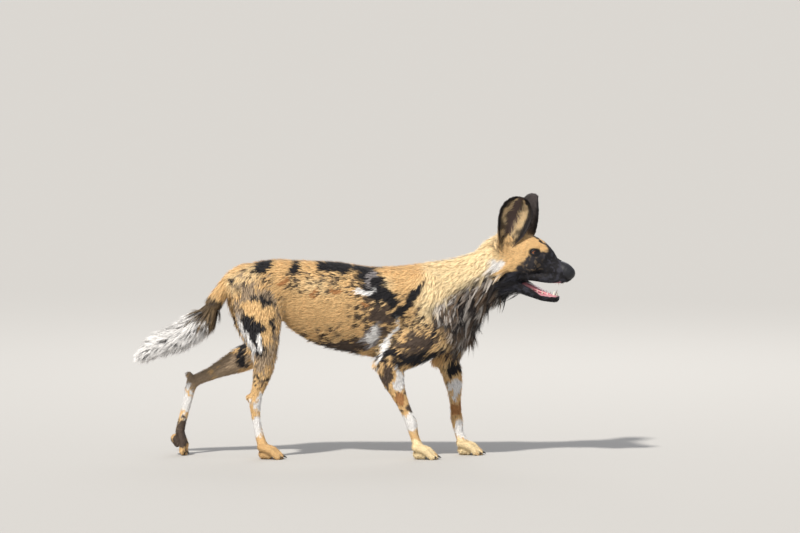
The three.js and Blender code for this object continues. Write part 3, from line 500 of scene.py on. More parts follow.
TAN = tone(226, 187, 131)
CREAM = tone(247, 226, 181)
RUST = tone(180, 128, 80)
BLACK = tone(32, 30, 33)
BROWN = tone(86, 72, 62)
DUN = tone(170, 148, 122)
GREY = tone(142, 136, 136)
WHITE = tone(240, 238, 236)
PINK = tone(214, 146, 156)
SHAG = tone(112, 94, 78)
SHAG_LIGHT = tone(206, 198, 190)
SOOT = tone(60, 57, 60)
FRECKLE = tone(140, 122, 100)
PAINTED_SHEEN = tone(66, 66, 76)
EAR_FLECK = tone(84, 72, 60)
EAR_SKIN_TONE = tone(86, 70, 64)
EAR_EDGE = tone(38, 32, 31)
EAR_ROOT_PAINTED_SHADE = tone(60, 46, 44)
EAR_BACK = tone(74, 66, 64)
EAR_BACK_HAIR = tone(78, 70, 68)
EAR_FRINGE_DARK = tone(56, 46, 42)


def noise(p, scale, seed=0):
    """Smooth noise between -1 and 1, with features about `scale` across."""
    q = p / scale + seed * 17.31
    cell = np.floor(q).astype(np.int64)
    f = q - cell
    f = f * f * (3 - 2 * f)
    total = np.zeros(len(p))
    for corner in itertools.product((0, 1), repeat=3):
        x, y, z = (cell + corner).T
        h = (x * 73856093) ^ (y * 19349663) ^ (z * 83492791) ^ (seed * 2654435)
        h = (h ^ (h >> 13)) * 1274126177 & 0x7FFFFFFF
        h = (h ^ (h >> 16)) % 65536 / 32767.5 - 1
        total += h * np.abs(1 - np.array(corner) - f).prod(1)
    return total


# Patches of the coat. Each is an ellipse in the side view: middle x and z, reach along and across, tilt in
# degrees, colour, and how strongly it is broken up by specks.
NEAR_PATCHES = [
    (-284, 372, 68, 118, 6, DUN, 0.6), (-20, 316, 84, 22, 8, BROWN, 1.1), (-60, 294, 70, 15, 0, BLACK, 0.5),
    (170, 292, 84, 20, 14, BLACK, 1.2), (176, 330, 50, 18, 20, BROWN, 1.4), (90, 296, 40, 16, 10, BLACK, 0.6),
    (-262, 538, 34, 17, 24, BLACK, 0.4), (-166, 534, 36, 11, 78, BLACK, 0.4),
    (-46, 540, 56, 20, -6, BLACK, 0.4),
    (30, 534, 46, 16, -4, BLACK, 0.5), (42, 496, 50, 34, -52, BLACK, 0.4), (90, 452, 42, 24, -58, BLACK, 0.5),
    (64, 404, 40, 22, -50, BROWN, 0.9), (44, 508, 24, 7, 40, GREY, 0.5), (22, 474, 30, 8, 12, WHITE, 0.5),
    (150, 452, 62, 11, 58, BLACK, 0.4), (122, 410, 24, 11, 60, BLACK, 0.6),
    (-342, 506, 16, 8, -30, BLACK, 0.1), (-54, 480, 20, 8, 0, RUST, 0.4),
    (-120, 470, 16, 7, 30, RUST, 0.4), (32, 442, 12, 6, 0, RUST, 0.3), (-205, 500, 14, 8, 20, RUST, 0.4),
    (53, 348, 34, 22, 60, GREY, 0.3), (50, 350, 24, 14, 60, WHITE, 0.3), (90, 333, 68, 8, 63, WHITE, 0.0),
    (230, 386, 60, 10, 66, BLACK, 0.3),
    (-279, 380, 52, 76, 0, BLACK, 0.5), (-262, 410, 30, 24, 20, TAN, 0.5), (-300, 430, 24, 20, 0, TAN, 0.4),
    (-250, 350, 14, 30, 10, TAN, 0.5), (-308, 338, 70, 9, -66, WHITE, 0.0), (-274, 337, 9, 24, 0, WHITE, 0.1),
    (48, 254, 18, 13, 0, WHITE, 0.1), (119, 226, 17, 40, 14, WHITE, 0.2), (84, 232, 12, 34, 0, BROWN, 0.4),
    (118, 176, 20, 15, 0, RUST, 0.3), (150, 106, 24, 34, 0, WHITE, 0.2), (140, 146, 20, 10, 0, BROWN, 0.4),
    (176, 22, 40, 30, 0, CREAM, 0.3), (-262, 160, 30, 20, 0, WHITE, 0.3), (-280, 96, 20, 30, 0, WHITE, 0.2),
]
FAR_PATCHES = [
    (-240, 520, 60, 24, 10, BLACK, 0.8), (-120, 500, 50, 40, 30, BLACK, 0.8),
    (-20, 440, 60, 46, -20, BLACK, 0.9),
    (100, 500, 50, 26, 0, BLACK, 0.8), (-100, 400, 60, 26, 10, WHITE, 0.8), (60, 380, 50, 22, 40, WHITE, 0.8),
    (160, 420, 40, 30, 30, RUST, 0.9), (-20, 330, 90, 34, 0, BROWN, 1.2), (-170, 450, 30, 20, 0, RUST, 0.9),
    (-290, 400, 50, 50, 0, BLACK, 1.0), (-270, 340, 30, 20, 30, WHITE, 0.8),
    (-350, 255, 72, 30, 25, DUN, 0.8),
    (-320, 280, 14, 34, 0, BLACK, 0.8), (-440, 215, 40, 28, 0, DUN, 0.8), (-478, 150, 24, 50, 0, WHITE, 0.9),
    (-495, 60, 30, 40, 0, BROWN, 0.9), (270, 330, 40, 50, 0, BROWN, 1.1), (266, 250, 32, 16, 20, BLACK, 1.0),
    (268, 218, 30, 10, 20, TAN, 0.8), (276, 186, 18, 32, 0, WHITE, 0.7), (278, 130, 20, 22, 0, RUST, 0.8),
    (290, 70, 20, 30, 0, WHITE, 0.7), (302, 22, 40, 26, 0, CREAM, 0.8),
]


# Where the near side (-1) and the far side (1) are mottled: middle x and z, reach along and across, tilt,
# how much of it is dark, and the size of the specks.
MOTTLED = {
    -1: [
        (-290, 390, 66, 130, 8, 0.64, 11), (-268, 480, 70, 66, 0, 0.4, 9), (-60, 326, 150, 48, 4, 0.56, 10),
        (60, 420, 72, 84, -50, 0.52, 10), (160, 326, 108, 70, 14, 0.62, 11), (150, 410, 50, 74, 30, 0.4, 9),
        (-110, 496, 130, 50, 0, 0.2, 7), (-262, 250, 40, 90, 0, 0.36, 8), (110, 200, 50, 90, 0, 0.32, 8),
        (266, 384, 60, 60, 0, 0.56, 11), (-20, 500, 90, 54, -12, 0.44, 8), (-166, 500, 40, 44, 0, 0.4, 8),
    ],
    1: [
        (-290, 400, 62, 120, 8, 0.42, 11), (-60, 350, 170, 60, 4, 0.45, 11), (60, 440, 90, 70, -40, 0.4, 12),
        (270, 330, 60, 90, 0, 0.55, 12), (-160, 490, 120, 50, 0, 0.3, 10), (-380, 245, 90, 40, 24, 0.25, 9),
        (270, 190, 40, 90, 0, 0.25, 9),
    ],
}


def mix(colour, other, share):
    return colour * (1 - share[:, None]) + other * share[:, None]


def step(low, high, v):
    """Goes smoothly from 0 at `low` to 1 at `high`."""
    t = np.clip((v - low) / (high - low), 0, 1)
    return t * t * (3 - 2 * t)


def spread_over(p, colour):
    return np.tile(colour, (len(p), 1))


def reach_from(p, x, z, along, across, tilt):
    """How far points are from the middle of a tilted ellipse in the side view: 1 on its edge."""
    c, s = math.cos(math.radians(tilt)), math.sin(math.radians(tilt))
    dx, dz = p[:, 0] - x, p[:, 2] - z
    return np.hypot((dx * c + dz * s) / along, (dz * c - dx * s) / across)


def wander(p, scale, seeds):
    """A smooth shift in three directions."""
    return np.column_stack([noise(p, scale, seed) for seed in seeds])


# How far the patches' edges wander, widely and finely, and how far each side's reach over the middle
LARGE_WARP = 13.0
SMALL_WARP = 5.5
MIDLINE = 12.0


def mottling(p, warped, row):
    """How dark each point is in one mottled area, and its colour."""
    x, z, along, across, tilt, dark_share, size = row
    reach = reach_from(warped, x, z, along, across, tilt)
    fleck = noise(warped, size, 14) + 0.55 * noise(p, size * 0.45, 15)
    least = 0.62 - dark_share * 1.1 + 0.5 * np.maximum(reach - 0.5, 0)
    share = step(least, least + 0.22, fleck) * step(1.2, 0.85, reach)
    dark = mix(spread_over(p, BROWN), BLACK, step(-0.3, 0.2, noise(warped, size * 2, 16)))
    return share * 0.92, dark


def ruff_markings(p, warped, colour):
    """The ruff and throat are shaggy grey-brown and black."""
    along, above = to_neck(p).T
    share = step(20, -10, above) * step(-60, 0, along) * step(0, 26, 60 - to_head(p)[:, 0])
    shag = mix(spread_over(p, SHAG), BLACK, step(-0.15, 0.25, noise(warped, 17, 11)) * 0.92)
    shag = mix(shag, SHAG_LIGHT, step(0.1, 0.5, noise(warped, 13, 12)) * 0.85)
    return mix(colour, shag, share)


def tail_markings(p, warped, specks, colour):
    """The tail is tan and dark at its root, then white."""
    share = step(-352, -372, p[:, 0]) * step(40, 30, np.abs(p[:, 1]))
    share *= step(240, 262, p[:, 2] + (p[:, 0] + 380) * -0.1)
    run = warped[:, 0] * -0.75 - warped[:, 2] * 0.66
    plume = mix(spread_over(p, TAN), BLACK, step(-4, 10, run) * (0.85 - 0.2 * specks))
    plume = mix(plume, WHITE, step(34, 60, run))
    plume = mix(plume, GREY, step(0.35, 0.7, noise(warped, 22, 13)) * step(80, 110, run) * 0.25)
    return mix(colour, plume, share)


def markings(p):
    """The coat's colour at each point, in linear light."""
    warped = p + wander(p, 30, (1, 2, 3)) * LARGE_WARP + wander(p, 9, (4, 5, 6)) * SMALL_WARP
    specks = noise(p, 5.5, 7) * 0.6 + noise(p, 13, 8) * 0.6
    colour = mix(spread_over(p, TAN), CREAM, step(0.1, 0.9, noise(p, 60, 9)) * 0.5)
    shoulder = step(370, 420, warped[:, 2])
    shoulder *= step(150, 200, warped[:, 0] - 0.25 * np.maximum(p[:, 2] - 470, 0))
    colour = mix(colour, CREAM, shoulder * 0.85)
    for side, patches in ((-1, NEAR_PATCHES), (1, FAR_PATCHES)):
        on_side = step(-MIDLINE, MIDLINE, warped[:, 1] * side)
        for row in MOTTLED[side]:
            share, dark = mottling(p, warped, row)
            colour = mix(colour, dark, share * on_side)
        for x, z, along, across, tilt, patch, broken in patches:
            reach = reach_from(warped, x, z, along, across, tilt)
            share = step(1.14, 0.86, reach + specks * (0.12 + broken * 0.75))
            colour = mix(colour, patch, share * on_side)
    colour = ruff_markings(p, warped, colour)
    colour = tail_markings(p, warped, specks, colour)
    return face_markings(p, warped, specks, colour)


NECK_LOW = np.array([230.0, 440.0])
NECK_WAY = np.array([0.86, 0.51])
NECK_UP = np.array([-0.51, 0.86])


def to_neck(p):
    """Along the neck's middle line from the chest, and above it."""
    q = p[:, [0, 2]] - NECK_LOW
    return np.column_stack([q @ NECK_WAY, q @ NECK_UP])


# Where the face turns sooty: x ahead of which it is dark, at each height z
SOOT_HEIGHTS = [-60, -41, -26, -1, 19, 40, 60]
SOOT_EDGE = [30, 50, 76, 84, 110, 150, 170]


def face_markings(p, warped, specks, colour):
    """The face: tan, sooty round the eye and cheek, and black on muzzle, lips, jaw and brow line."""
    q = to_head(p)
    x, y, z = to_head(warped).T
    face = step(-30, -5, q[:, 0]) * step(-150, -130, q[:, 2]) * step(420, 440, p[:, 2])
    face *= np.maximum(step(-12, 8, q[:, 0]), step(-62, -42, q[:, 2]))
    paint = mix(spread_over(p, TAN), CREAM, step(30, -10, x) * 0.6)
    paint = mix(paint, WHITE, step(1.2, 0.8, np.hypot((x + 16) / 32, (z + 14) / 23)) * 0.95)
    # Before and below the eye the tan turns sooty, then black on the muzzle.
    sooty = mix(spread_over(p, SOOT), FRECKLE, step(0.0, 0.5, noise(warped, 6, 17)))
    ahead = x - np.interp(z, SOOT_HEIGHTS, SOOT_EDGE) + specks * 6
    freckled = step(-26, 4, ahead) * step(0.25, 0.5, noise(warped, 5, 18)) * step(30, 0, z)
    paint = mix(paint, sooty, np.maximum(step(-5, 6, ahead), freckled * 0.6))
    ear_foot = step(1.2, 0.7, np.hypot((x - 22) / 36, (z - 50) / 28))
    paint = mix(paint, EAR_FLECK, ear_foot * step(-0.2, 0.25, noise(warped, 5, 20)) * 0.75)
    paint = mix(paint, BLACK, step(20, 56, ahead) * 0.9)
    dark_parts = (
        step(126, 138, x + (z + 20) * 0.2),  # muzzle
        step(-44, -58, z + (x - 60) * -0.05 + specks * 5) * step(-10, 10, x),  # lips and jaw
        step(1.2, 0.85, np.hypot((x - 40) / 46, (z + 60) / 22)),  # corner of the mouth
        step(-30, -46, z + specks * 5) * step(-24, -4, x) * 0.9,  # below the cheek
        step(6.5, 3.5, np.abs(y)) * step(54, 66, x),  # line up the forehead
    )
    # The black of muzzle, lips and jaw is mottled with a painted blue-grey sheen.
    muzzle = mix(spread_over(p, BLACK), PAINTED_SHEEN, step(-0.1, 0.45, noise(warped, 8, 19)) * 0.7)
    paint = mix(paint, muzzle, np.maximum.reduce(dark_parts))
    one_side = np.column_stack([q[:, 0], np.abs(q[:, 1]), q[:, 2]])
    around_eye = np.linalg.norm((one_side - EYE_AT) * (0.8, 1, 1.1), axis=1)
    paint = mix(paint, BLACK, step(19, 15, around_eye))
    return mix(colour, paint, face)


# Materials
GRAIN_SCALE = 420
GRAIN_RANGE = (0.72, 1.25)


def material(
    name, roughness, color=(0.5, 0.5, 0.5, 1), attribute=None, specular=0.5, coat=0.0, sheen=0.0, bump=None
):
    """A material in one colour, or in a mesh's own colours with a fine grain over them."""
    mat = bpy.data.materials.new(name)
    mat.use_nodes = True
    nodes, links = mat.node_tree.nodes, mat.node_tree.links
    shader = nodes["Principled BSDF"]
    values = {
        "Base Color": color, "Roughness": roughness, "Specular IOR Level": specular, "Coat Weight": coat,
        "Coat Roughness": 0.06, "Sheen Weight": sheen, "Sheen Roughness": 0.4,
    }
    for socket, value in values.items():
        shader.inputs[socket].default_value = value
    place = nodes.new("ShaderNodeTexCoord")

    def noise_height(scale, detail):
        node = nodes.new("ShaderNodeTexNoise")
        node.inputs["Scale"].default_value = scale
        node.inputs["Detail"].default_value = detail
        links.new(place.outputs["Object"], node.inputs["Vector"])
        return node.outputs["Fac"]

    if attribute:
        own = nodes.new("ShaderNodeAttribute")
        own.attribute_name = attribute
        light = nodes.new("ShaderNodeMapRange")
        light.inputs["To Min"].default_value, light.inputs["To Max"].default_value = GRAIN_RANGE
        links.new(noise_height(GRAIN_SCALE, 3), light.inputs["Value"])
        scaled = nodes.new("ShaderNodeVectorMath")
        scaled.operation = "SCALE"
        links.new(own.outputs["Color"], scaled.inputs[0])
        links.new(light.outputs["Result"], scaled.inputs["Scale"])
        links.new(scaled.outputs["Vector"], shader.inputs["Base Color"])
    if bump:
        scale, strength, distance = bump
        relief = nodes.new("ShaderNodeBump")
        relief.inputs["Strength"].default_value = strength
        relief.inputs["Distance"].default_value = distance
        links.new(noise_height(scale, 4), relief.inputs["Height"])
        links.new(relief.outputs["Normal"], shader.inputs["Normal"])
    return mat


COAT = material("coat", 0.72, attribute="coat", specular=0.3, sheen=0.08)
SKIN = material("skin", 0.8, attribute="coat", specular=0.25, bump=(260, 0.6, 0.0015))
NOSE = material("nose", 0.5, (0.008, 0.008, 0.011, 1), specular=0.3, coat=0.3, bump=(700, 0.5, 0.0006))
MOUTH = material("mouth", 0.3, attribute="coat", coat=0.4, bump=(180, 0.3, 0.001))
EYE = material("eye", 0.08, attribute="coat", coat=1.0)
TOOTH = material("tooth", 0.25, (0.82, 0.78, 0.66, 1), coat=0.3, bump=(120, 0.1, 0.0004))
TONGUE_SKIN = material("tongue", 0.35, attribute="coat", coat=0.4, bump=(900, 0.5, 0.0006))
CLAW = material("claw", 0.35, (0.03, 0.026, 0.024, 1), bump=(300, 0.2, 0.0004))
LID = material("lid", 0.4, (0.008, 0.007, 0.008, 1), bump=(400, 0.3, 0.0005))
EAR_SKIN = material("ear_skin", 0.7, attribute="coat", specular=0.3, bump=(200, 0.4, 0.0008))


def paint(obj, colour):
    """Gives a mesh its colours, one for each vertex, in linear light."""
    total = len(obj.data.vertices)
    layer = obj.data.color_attributes.new("coat", "FLOAT_COLOR", "POINT")
    rgba = np.column_stack([np.broadcast_to(colour, (total, 3)), np.ones(total)])
    layer.data.foreach_set("color", rgba.astype(np.float32).ravel())


def shown(obj, mat, slot, *replaced):
    """A piece of the animal: it rides on the body, and stands for the solids it replaces."""
    if not obj.data.materials:
        obj.data.materials.append(mat)
    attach(obj, "root")
    if replaced:
        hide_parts(*replaced)


# The skin
SKIN_STEP = 3.8
SKIN_COARSE = 4
SKIN_LOW = np.array([-640.0, -116.0, -8.0])
SKIN_HIGH = np.array([636.0, 116.0, 700.0])
FINE_FROM = 30.0
SKIN_PAINTED_SHADE = 0.85  # painted shade: the skin between the hairs is darker than the coat over it
MOUTH_LOW = (52, -26, -112)
MOUTH_HIGH = (178, 26, -44)
MOUTH_MIDDLE = -76
MOUTH_PAINTED_SHADE = 0.7
NOSE_SLOT = 1
MOUTH_SLOT = 2

points, quads = net(skin_field, SKIN_LOW, SKIN_HIGH, SKIN_STEP, SKIN_COARSE)
skin = new_object("skin", settle(skin_field, points, 1), [quads])

# The head is meshed twice as finely, so that lids, lips and nostrils are crisp.
bm = bmesh.new()
bm.from_mesh(skin.data)
on_head = to_head(millimetres([v.co for v in bm.verts]))[:, 0] > FINE_FROM
edges = [e for e in bm.edges if on_head[e.verts[0].index] and on_head[e.verts[1].index]]
bmesh.ops.subdivide_edges(bm, edges=edges, cuts=1, use_grid_fill=True)
bm.to_mesh(skin.data)
bm.free()
points = millimetres(read(skin.data.vertices, "co", 3))
on_head = to_head(points)[:, 0] > FINE_FROM - 5
points[on_head] = settle(skin_field, points[on_head], 2)
skin.data.vertices.foreach_set("co", metres(points).ravel())
skin.data.update()
normals = unit(slope(skin_field, points))

# Bare skin: the mouth's floor faces up and its roof down. The nose lies before a slanting plane.
in_head_place = to_head(points)
in_mouth = ((in_head_place > MOUTH_LOW) & (in_head_place < MOUTH_HIGH)).all(1)
bare_mouth = in_mouth & (normals[:, 2] * np.where(in_head_place[:, 2] < MOUTH_MIDDLE, 1, -1) > 0.35)
# The skin has the coat's markings, darkened as painted shade between the hairs.
skin_colour = markings(points) * SKIN_PAINTED_SHADE
# The mouth's pink is darkened as painted shade inside the mouth.
skin_colour[bare_mouth] = PINK * MOUTH_PAINTED_SHADE
paint(skin, skin_colour)
for mat in (SKIN, NOSE, MOUTH):
    skin.data.materials.append(mat)
centres = to_head(millimetres(read(skin.data.polygons, "center", 3)))
on_nose = (0.9 * (centres[:, 0] - 193) + 0.45 * (centres[:, 2] + 52) > 0) & (centres[:, 2] > -54)
loop_vertex = read(skin.data.loops, "vertex_index", kind=np.int32)
loop_start = read(skin.data.polygons, "loop_start", kind=np.int32)
slots = on_nose.astype(np.int32) * NOSE_SLOT
slots[bare_mouth[loop_vertex[loop_start]]] = MOUTH_SLOT
skin.data.polygons.foreach_set("material_index", slots)

# An unwrap of the skin, which the coat's tufts share
bpy.context.view_layer.objects.active = skin
skin.select_set(True)
bpy.ops.object.mode_set(mode="EDIT")
bpy.ops.mesh.select_all(action="SELECT")
bpy.ops.uv.smart_project(angle_limit=math.radians(66), island_margin=0.002)
bpy.ops.object.mode_set(mode="OBJECT")
skin.select_set(False)
skin.data.uv_layers[0].name = "OFBake"
flesh_nodes = [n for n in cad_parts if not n.startswith(("eye_", "ear_", "tongue"))]
shown(skin, SKIN, "coat", *flesh_nodes)

# Which way the coat lies
EAR_STEMS = [Tube([(14, 50 * s, 30, 17, 17), (40, 55 * s, 95, 15, 15)]) for s in (-1, 1)]
FLOW_FADES = 9.0


def coat_flow(p, n):
    """The lie of the coat: back along trunk, neck and head, and down the legs and tail."""
    q = to_head(p)
    flow = np.zeros((len(p), 3))

    def join(tube, place, sign, sag, head=False):
        d, way = tube.nearest(place)
        way = way * sign
        if head:
            way = turn_with_head(way)
        way = way + (0, 0, -sag)
        flow[:] += way * np.exp(-np.maximum(d + 6, 0) / FLOW_FADES)[:, None]

    join(trunk, p, -1, 0.35)
    join(neck, p, -1, 0.35)
    join(tail_root, p, 1, 0)
    join(tail_core, p, 1, 0)
    for leg in LEGS.values():
        limb, heel, toes, pad = leg["forms"]
        join(limb, p, 1, 0.1)
        for toe in toes:
            join(toe, p, 1, 0)
    join(skull, q, -1, 0.1, head=True)
    join(jaw, q, -1, 0.1, head=True)
    for stem in EAR_STEMS:
        join(stem, q, 1, 0, head=True)
    flow += wander(p, 45, (21, 22, 23)) * 0.12 * np.linalg.norm(flow, axis=1, keepdims=True)
    return unit(along_surface(flow, n))


def coat_length(p):
    """Length of the short coat: longer on the neck and belly, shorter down the legs and over the face."""
    q = to_head(p)
    length = 15.0 + 6 * step(160, 260, p[:, 0]) + 3 * step(380, 330, p[:, 2])
    length *= 1 - 0.55 * step(300, 200, p[:, 2])
    length *= 1 - 0.35 * step(110, 60, p[:, 2])
    on_head = step(-40, 20, q[:, 0]) * (q[:, 2] > -140) * (p[:, 2] > 420)
    return length * (1 - on_head) + on_head * (10 - 6 * step(30, 110, q[:, 0]))


flow = coat_flow(points, normals)
short = coat_length(points)

# The skin's faces as triangles, to sow hair on
uv = read(skin.data.uv_layers["OFBake"].data, "uv", 2)
loop_total = read(skin.data.polygons, "loop_total", kind=np.int32)
halves = [np.flatnonzero(loop_total >= 3 + k) for k in range(2)]
tri_loops = np.vstack([loop_start[has][:, None] + (0, 1 + k, 2 + k) for k, has in enumerate(halves)])
tri = loop_vertex[tri_loops]
tri_sides = np.cross(points[tri[:, 1]] - points[tri[:, 0]], points[tri[:, 2]] - points[tri[:, 0]])
tri_area = np.linalg.norm(tri_sides, axis=1) / 2
bald = slots[np.concatenate(halves)] > 0


def scatter(density):
    """Roots on the skin: `density` is tufts for each square millimetre at each vertex."""
    weight = tri_area * density[tri].mean(1) * ~bald
    chosen = np.repeat(np.arange(len(tri)), rng.poisson(weight))
    a = np.sqrt(rng.random(len(chosen)))
    b = rng.random(len(chosen))
    share = np.column_stack([1 - a, a * (1 - b), a * b])

    def at(values):
        return (values[tri[chosen]] * share[:, :, None]).sum(1)

    n = unit(at(normals))
    root_uv = (uv[tri_loops[chosen]] * share[:, :, None]).sum(1)
    return at(points), n, unit(along_surface(at(flow), n)), root_uv, at(short[:, None])[:, 0]


UV_PATCH = 0.003
MOST_TRIANGLES = 190000
# Each hair runs from darker at its root to lighter at its tip: painted shade among the hairs and painted
# light on their tips.
ROOT_PAINTED_SHADE = 0.74
TIP_PAINTED_LIGHT = 1.1


def blades(name, root, bend, tip, facing, width, colour, root_uv, segments):
    """Tapered flat hairs along curves with one bend, joined in pieces of fewer than 200,000 triangles."""
    per_piece = MOST_TRIANGLES // (2 * segments - 1)
    for piece, first in enumerate(range(0, len(root), per_piece)):
        part = slice(first, first + per_piece)
        r, b, e, n, w, c, u = (v[part] for v in (root, bend, tip, facing, width, colour, root_uv))
        rings, uvs, shades = [], [], []
        for k in range(segments):
            t = k / segments
            middle = (1 - t) ** 2 * r + 2 * t * (1 - t) * b + t * t * e
            along = (1 - t) * (b - r) + t * (e - b)
            across = unit(np.cross(n, along)) * (w * 0.5 * (1 - t ** 1.6))[:, None]
            rings += [middle - across, middle + across]
            uvs += [u + np.array([0, t * UV_PATCH]), u + np.array([UV_PATCH, t * UV_PATCH])]
            # Painted shade at the hair's root, painted light towards its tip
            shades += [c * (ROOT_PAINTED_SHADE + (TIP_PAINTED_LIGHT - ROOT_PAINTED_SHADE) * t)] * 2
        rings.append(e)
        uvs.append(u + np.array([0, UV_PATCH]))
        shades.append(c * TIP_PAINTED_LIGHT)
        base = np.arange(len(r))[:, None] * (2 * segments + 1)
        sides = [base + np.array([2 * k, 2 * k + 1, 2 * k + 3, 2 * k + 2]) for k in range(segments - 1)]
        tips = base + np.array([2 * segments - 2, 2 * segments - 1, 2 * segments])
        obj = new_object(f"{name}_{piece}", np.stack(rings, 1).reshape(-1, 3), [np.vstack(sides), tips])
        paint(obj, np.stack(shades, 1).reshape(-1, 3))
        corners = read(obj.data.loops, "vertex_index", kind=np.int32)
        corner_uv = np.clip(np.stack(uvs, 1).reshape(-1, 2)[corners], 0, 1)
        layer = obj.data.uv_layers.new(name="OFBake")
        layer.data.foreach_set("uv", corner_uv.astype(np.float32).ravel())
        shown(obj, COAT, "coat")


def jitter(n, spread):
    return rng.normal(0, spread, (n, 3))


def hair_width(length):
    return 0.9 + length * 0.085


# The short coat over the whole body
COAT_COVER = 3.2  # how many times the hairs cover the skin
COAT_LENGTHS = (0.75, 1.25)
COAT_STRAYS = 0.14
COAT_LIFT = (0.08, 0.24)
COAT_SHADES = (0.78, 1.2)
root, n, way, root_uv, length = scatter(COAT_COVER / (short * hair_width(short)))
total = len(root)
length = length * rng.uniform(*COAT_LENGTHS, total)
way = unit(way + jitter(total, COAT_STRAYS))
lift = rng.uniform(*COAT_LIFT, total)[:, None]
tip = root + way * length[:, None] + n * length[:, None] * lift
bend = root + way * length[:, None] * 0.45 + n * length[:, None] * (lift + 0.12)
colour = markings(root + way * 2) * rng.uniform(*COAT_SHADES, total)[:, None]
blades("short_coat", root - n * 0.6, bend, tip, n, hair_width(length), colour, root_uv, 2)

# Long hair in locks
LOCKS_PER_AREA = dict(ruff=0.0105, nape=0.006, fringe=0.006, ear_base=0.02, tail_brush=0.05)  # in square mm
LOCK_OPEN = 0.35  # how much of a lock's hairs run side by side, and don't close on its tip
LOCK_LENGTHS = (0.7, 1.2)
LOCK_STRAYS = 0.22
LOCK_HAIR_LENGTHS = (0.72, 1.0)
LOCK_TIP_SPREAD = 1.2
LOCK_ARCH = (0.05, 0.2)
LOCK_SHADES = (0.75, 1.22)
LOCK_WIDTHS = (0.8, 1.2)
LOCK_SUNK = 1.5


def locks(name, where, number, length, spread, lift, sag, width, segments, limit=None):
    """Locks of `number` hairs that share a tip, where `where` is over 0. `limit` moves the locks' tips."""
    root, n, way, root_uv, _ = scatter(LOCKS_PER_AREA[name] * where)
    size = (length(root) if callable(length) else length) * rng.uniform(*LOCK_LENGTHS, len(root))
    way = unit(way + jitter(len(root), LOCK_STRAYS) + n * lift)
    end = root + way * size[:, None] + np.array([0, 0, -1]) * (sag * size)[:, None]
    if limit is not None:
        end = limit(root, end)
    pick = np.repeat(np.arange(len(root)), number)
    total = len(pick)
    slide = rng.normal(0, spread, total)[:, None]
    back = rng.normal(0, spread, total)[:, None]
    start = root[pick] + np.cross(n, way)[pick] * slide + way[pick] * back
    shorter = rng.uniform(*LOCK_HAIR_LENGTHS, total)[:, None]
    beside = start + (end[pick] - root[pick]) * shorter
    closing = end[pick] + (start - end[pick]) * (1 - shorter)
    tip = beside * LOCK_OPEN + closing * (1 - LOCK_OPEN) + jitter(total, LOCK_TIP_SPREAD)
    arch = size[pick][:, None] * rng.uniform(*LOCK_ARCH, total)[:, None]
    bend = start + (tip - start) * 0.45 + n[pick] * arch
    colour = markings(root)[pick] * rng.uniform(*LOCK_SHADES, total)[:, None]
    widths = width * rng.uniform(*LOCK_WIDTHS, total)
    blades(name, start - n[pick] * LOCK_SUNK, bend, tip, n[pick], widths, colour, root_uv[pick], segments)


RUFF_HALF_WIDTH = 98.0
BRUSH_ROOM = 12.0  # how far the brush's tips may stand out of the tail's outline
BRUSH_TURNS = 14
BRUSH_PULL = 0.93
brush_shape = Tube(smooth(TAIL_BRUSH, BODY_STEPS))


def within_ruff(root, end):
    return np.column_stack([end[:, 0], np.clip(end[:, 1], -RUFF_HALF_WIDTH, RUFF_HALF_WIDTH), end[:, 2]])


def inside_brush(root, end):
    """Pulls a lock's tip back until it is near the tail's outline."""
    for _ in range(BRUSH_TURNS):
        out = brush_shape(end) > BRUSH_ROOM
        end = np.where(out[:, None], root + (end - root) * BRUSH_PULL, end)
    return end


# Where each kind of lock grows, from 0 to 1 at each point of the skin
x, y, z = points.T
along, above = to_neck(points).T
ahead_of_ears = to_head(points)[:, 0]
in_ruff = step(30, -30, above + along * 0.05) * step(-30, 30, along) * step(250, 200, along)
in_ruff *= (z > 300) * (ahead_of_ears < 55)
on_nape = step(150, 200, x) * step(-10, 40, above) * (ahead_of_ears < -5)
under_belly = step(-0.2, -0.6, normals[:, 2]) * (z > 270) * (np.abs(x + 60) < 230) * (np.abs(y) < 80)
behind_thigh = step(-0.35, -0.8, normals[:, 0]) * (z > 230) * (z < 480) * (x < -200) * (np.abs(y) < 72)
ear_base = np.minimum(*(stem(to_head(points)) for stem in EAR_STEMS)) < 5
on_brush = step(-380, -400, x) * (tail_core(points) < 4)

locks("ruff", in_ruff, number=10, length=lambda p: 34 + 14 * step(0, 60, to_neck(p)[:, 0]),
      spread=2.6, lift=0.3, sag=0.26, width=1.6, segments=4, limit=within_ruff)
locks("nape", on_nape, number=6, length=24.0,
      spread=2.2, lift=0.12, sag=0.0, width=1.6, segments=3)
locks("fringe", np.maximum(under_belly, behind_thigh), number=6, length=24.0,
      spread=2.0, lift=0.1, sag=0.15, width=1.5, segments=3)
locks("ear_base", ear_base, number=6, length=19.0,
      spread=2.0, lift=0.22, sag=0.0, width=1.2, segments=3)
locks("tail_brush", on_brush, number=9, length=84.0,
      spread=2.8, lift=0.75, sag=0.1, width=2.0, segments=5, limit=inside_brush)


# Ears: rounded cups, rolled to a tube at the root.
# Their shape: how far along, the share of the half width, and the roll in degrees.
EAR_SHAPE = [
    (0, 0.36, 118), (0.15, 0.52, 104), (0.32, 0.78, 84), (0.5, 0.96, 64), (0.66, 1, 52), (0.8, 0.88, 44),
    (0.91, 0.62, 36), (0.97, 0.38, 30), (1, 0.14, 26),
]
EAR_ROWS = 46
EAR_COLUMNS = 30
EAR_FRINGE_HAIRS = 5200
EAR_BACK_HAIRS = 7000
EAR_UV = 0.9
EAR_AHEAD = 0.02


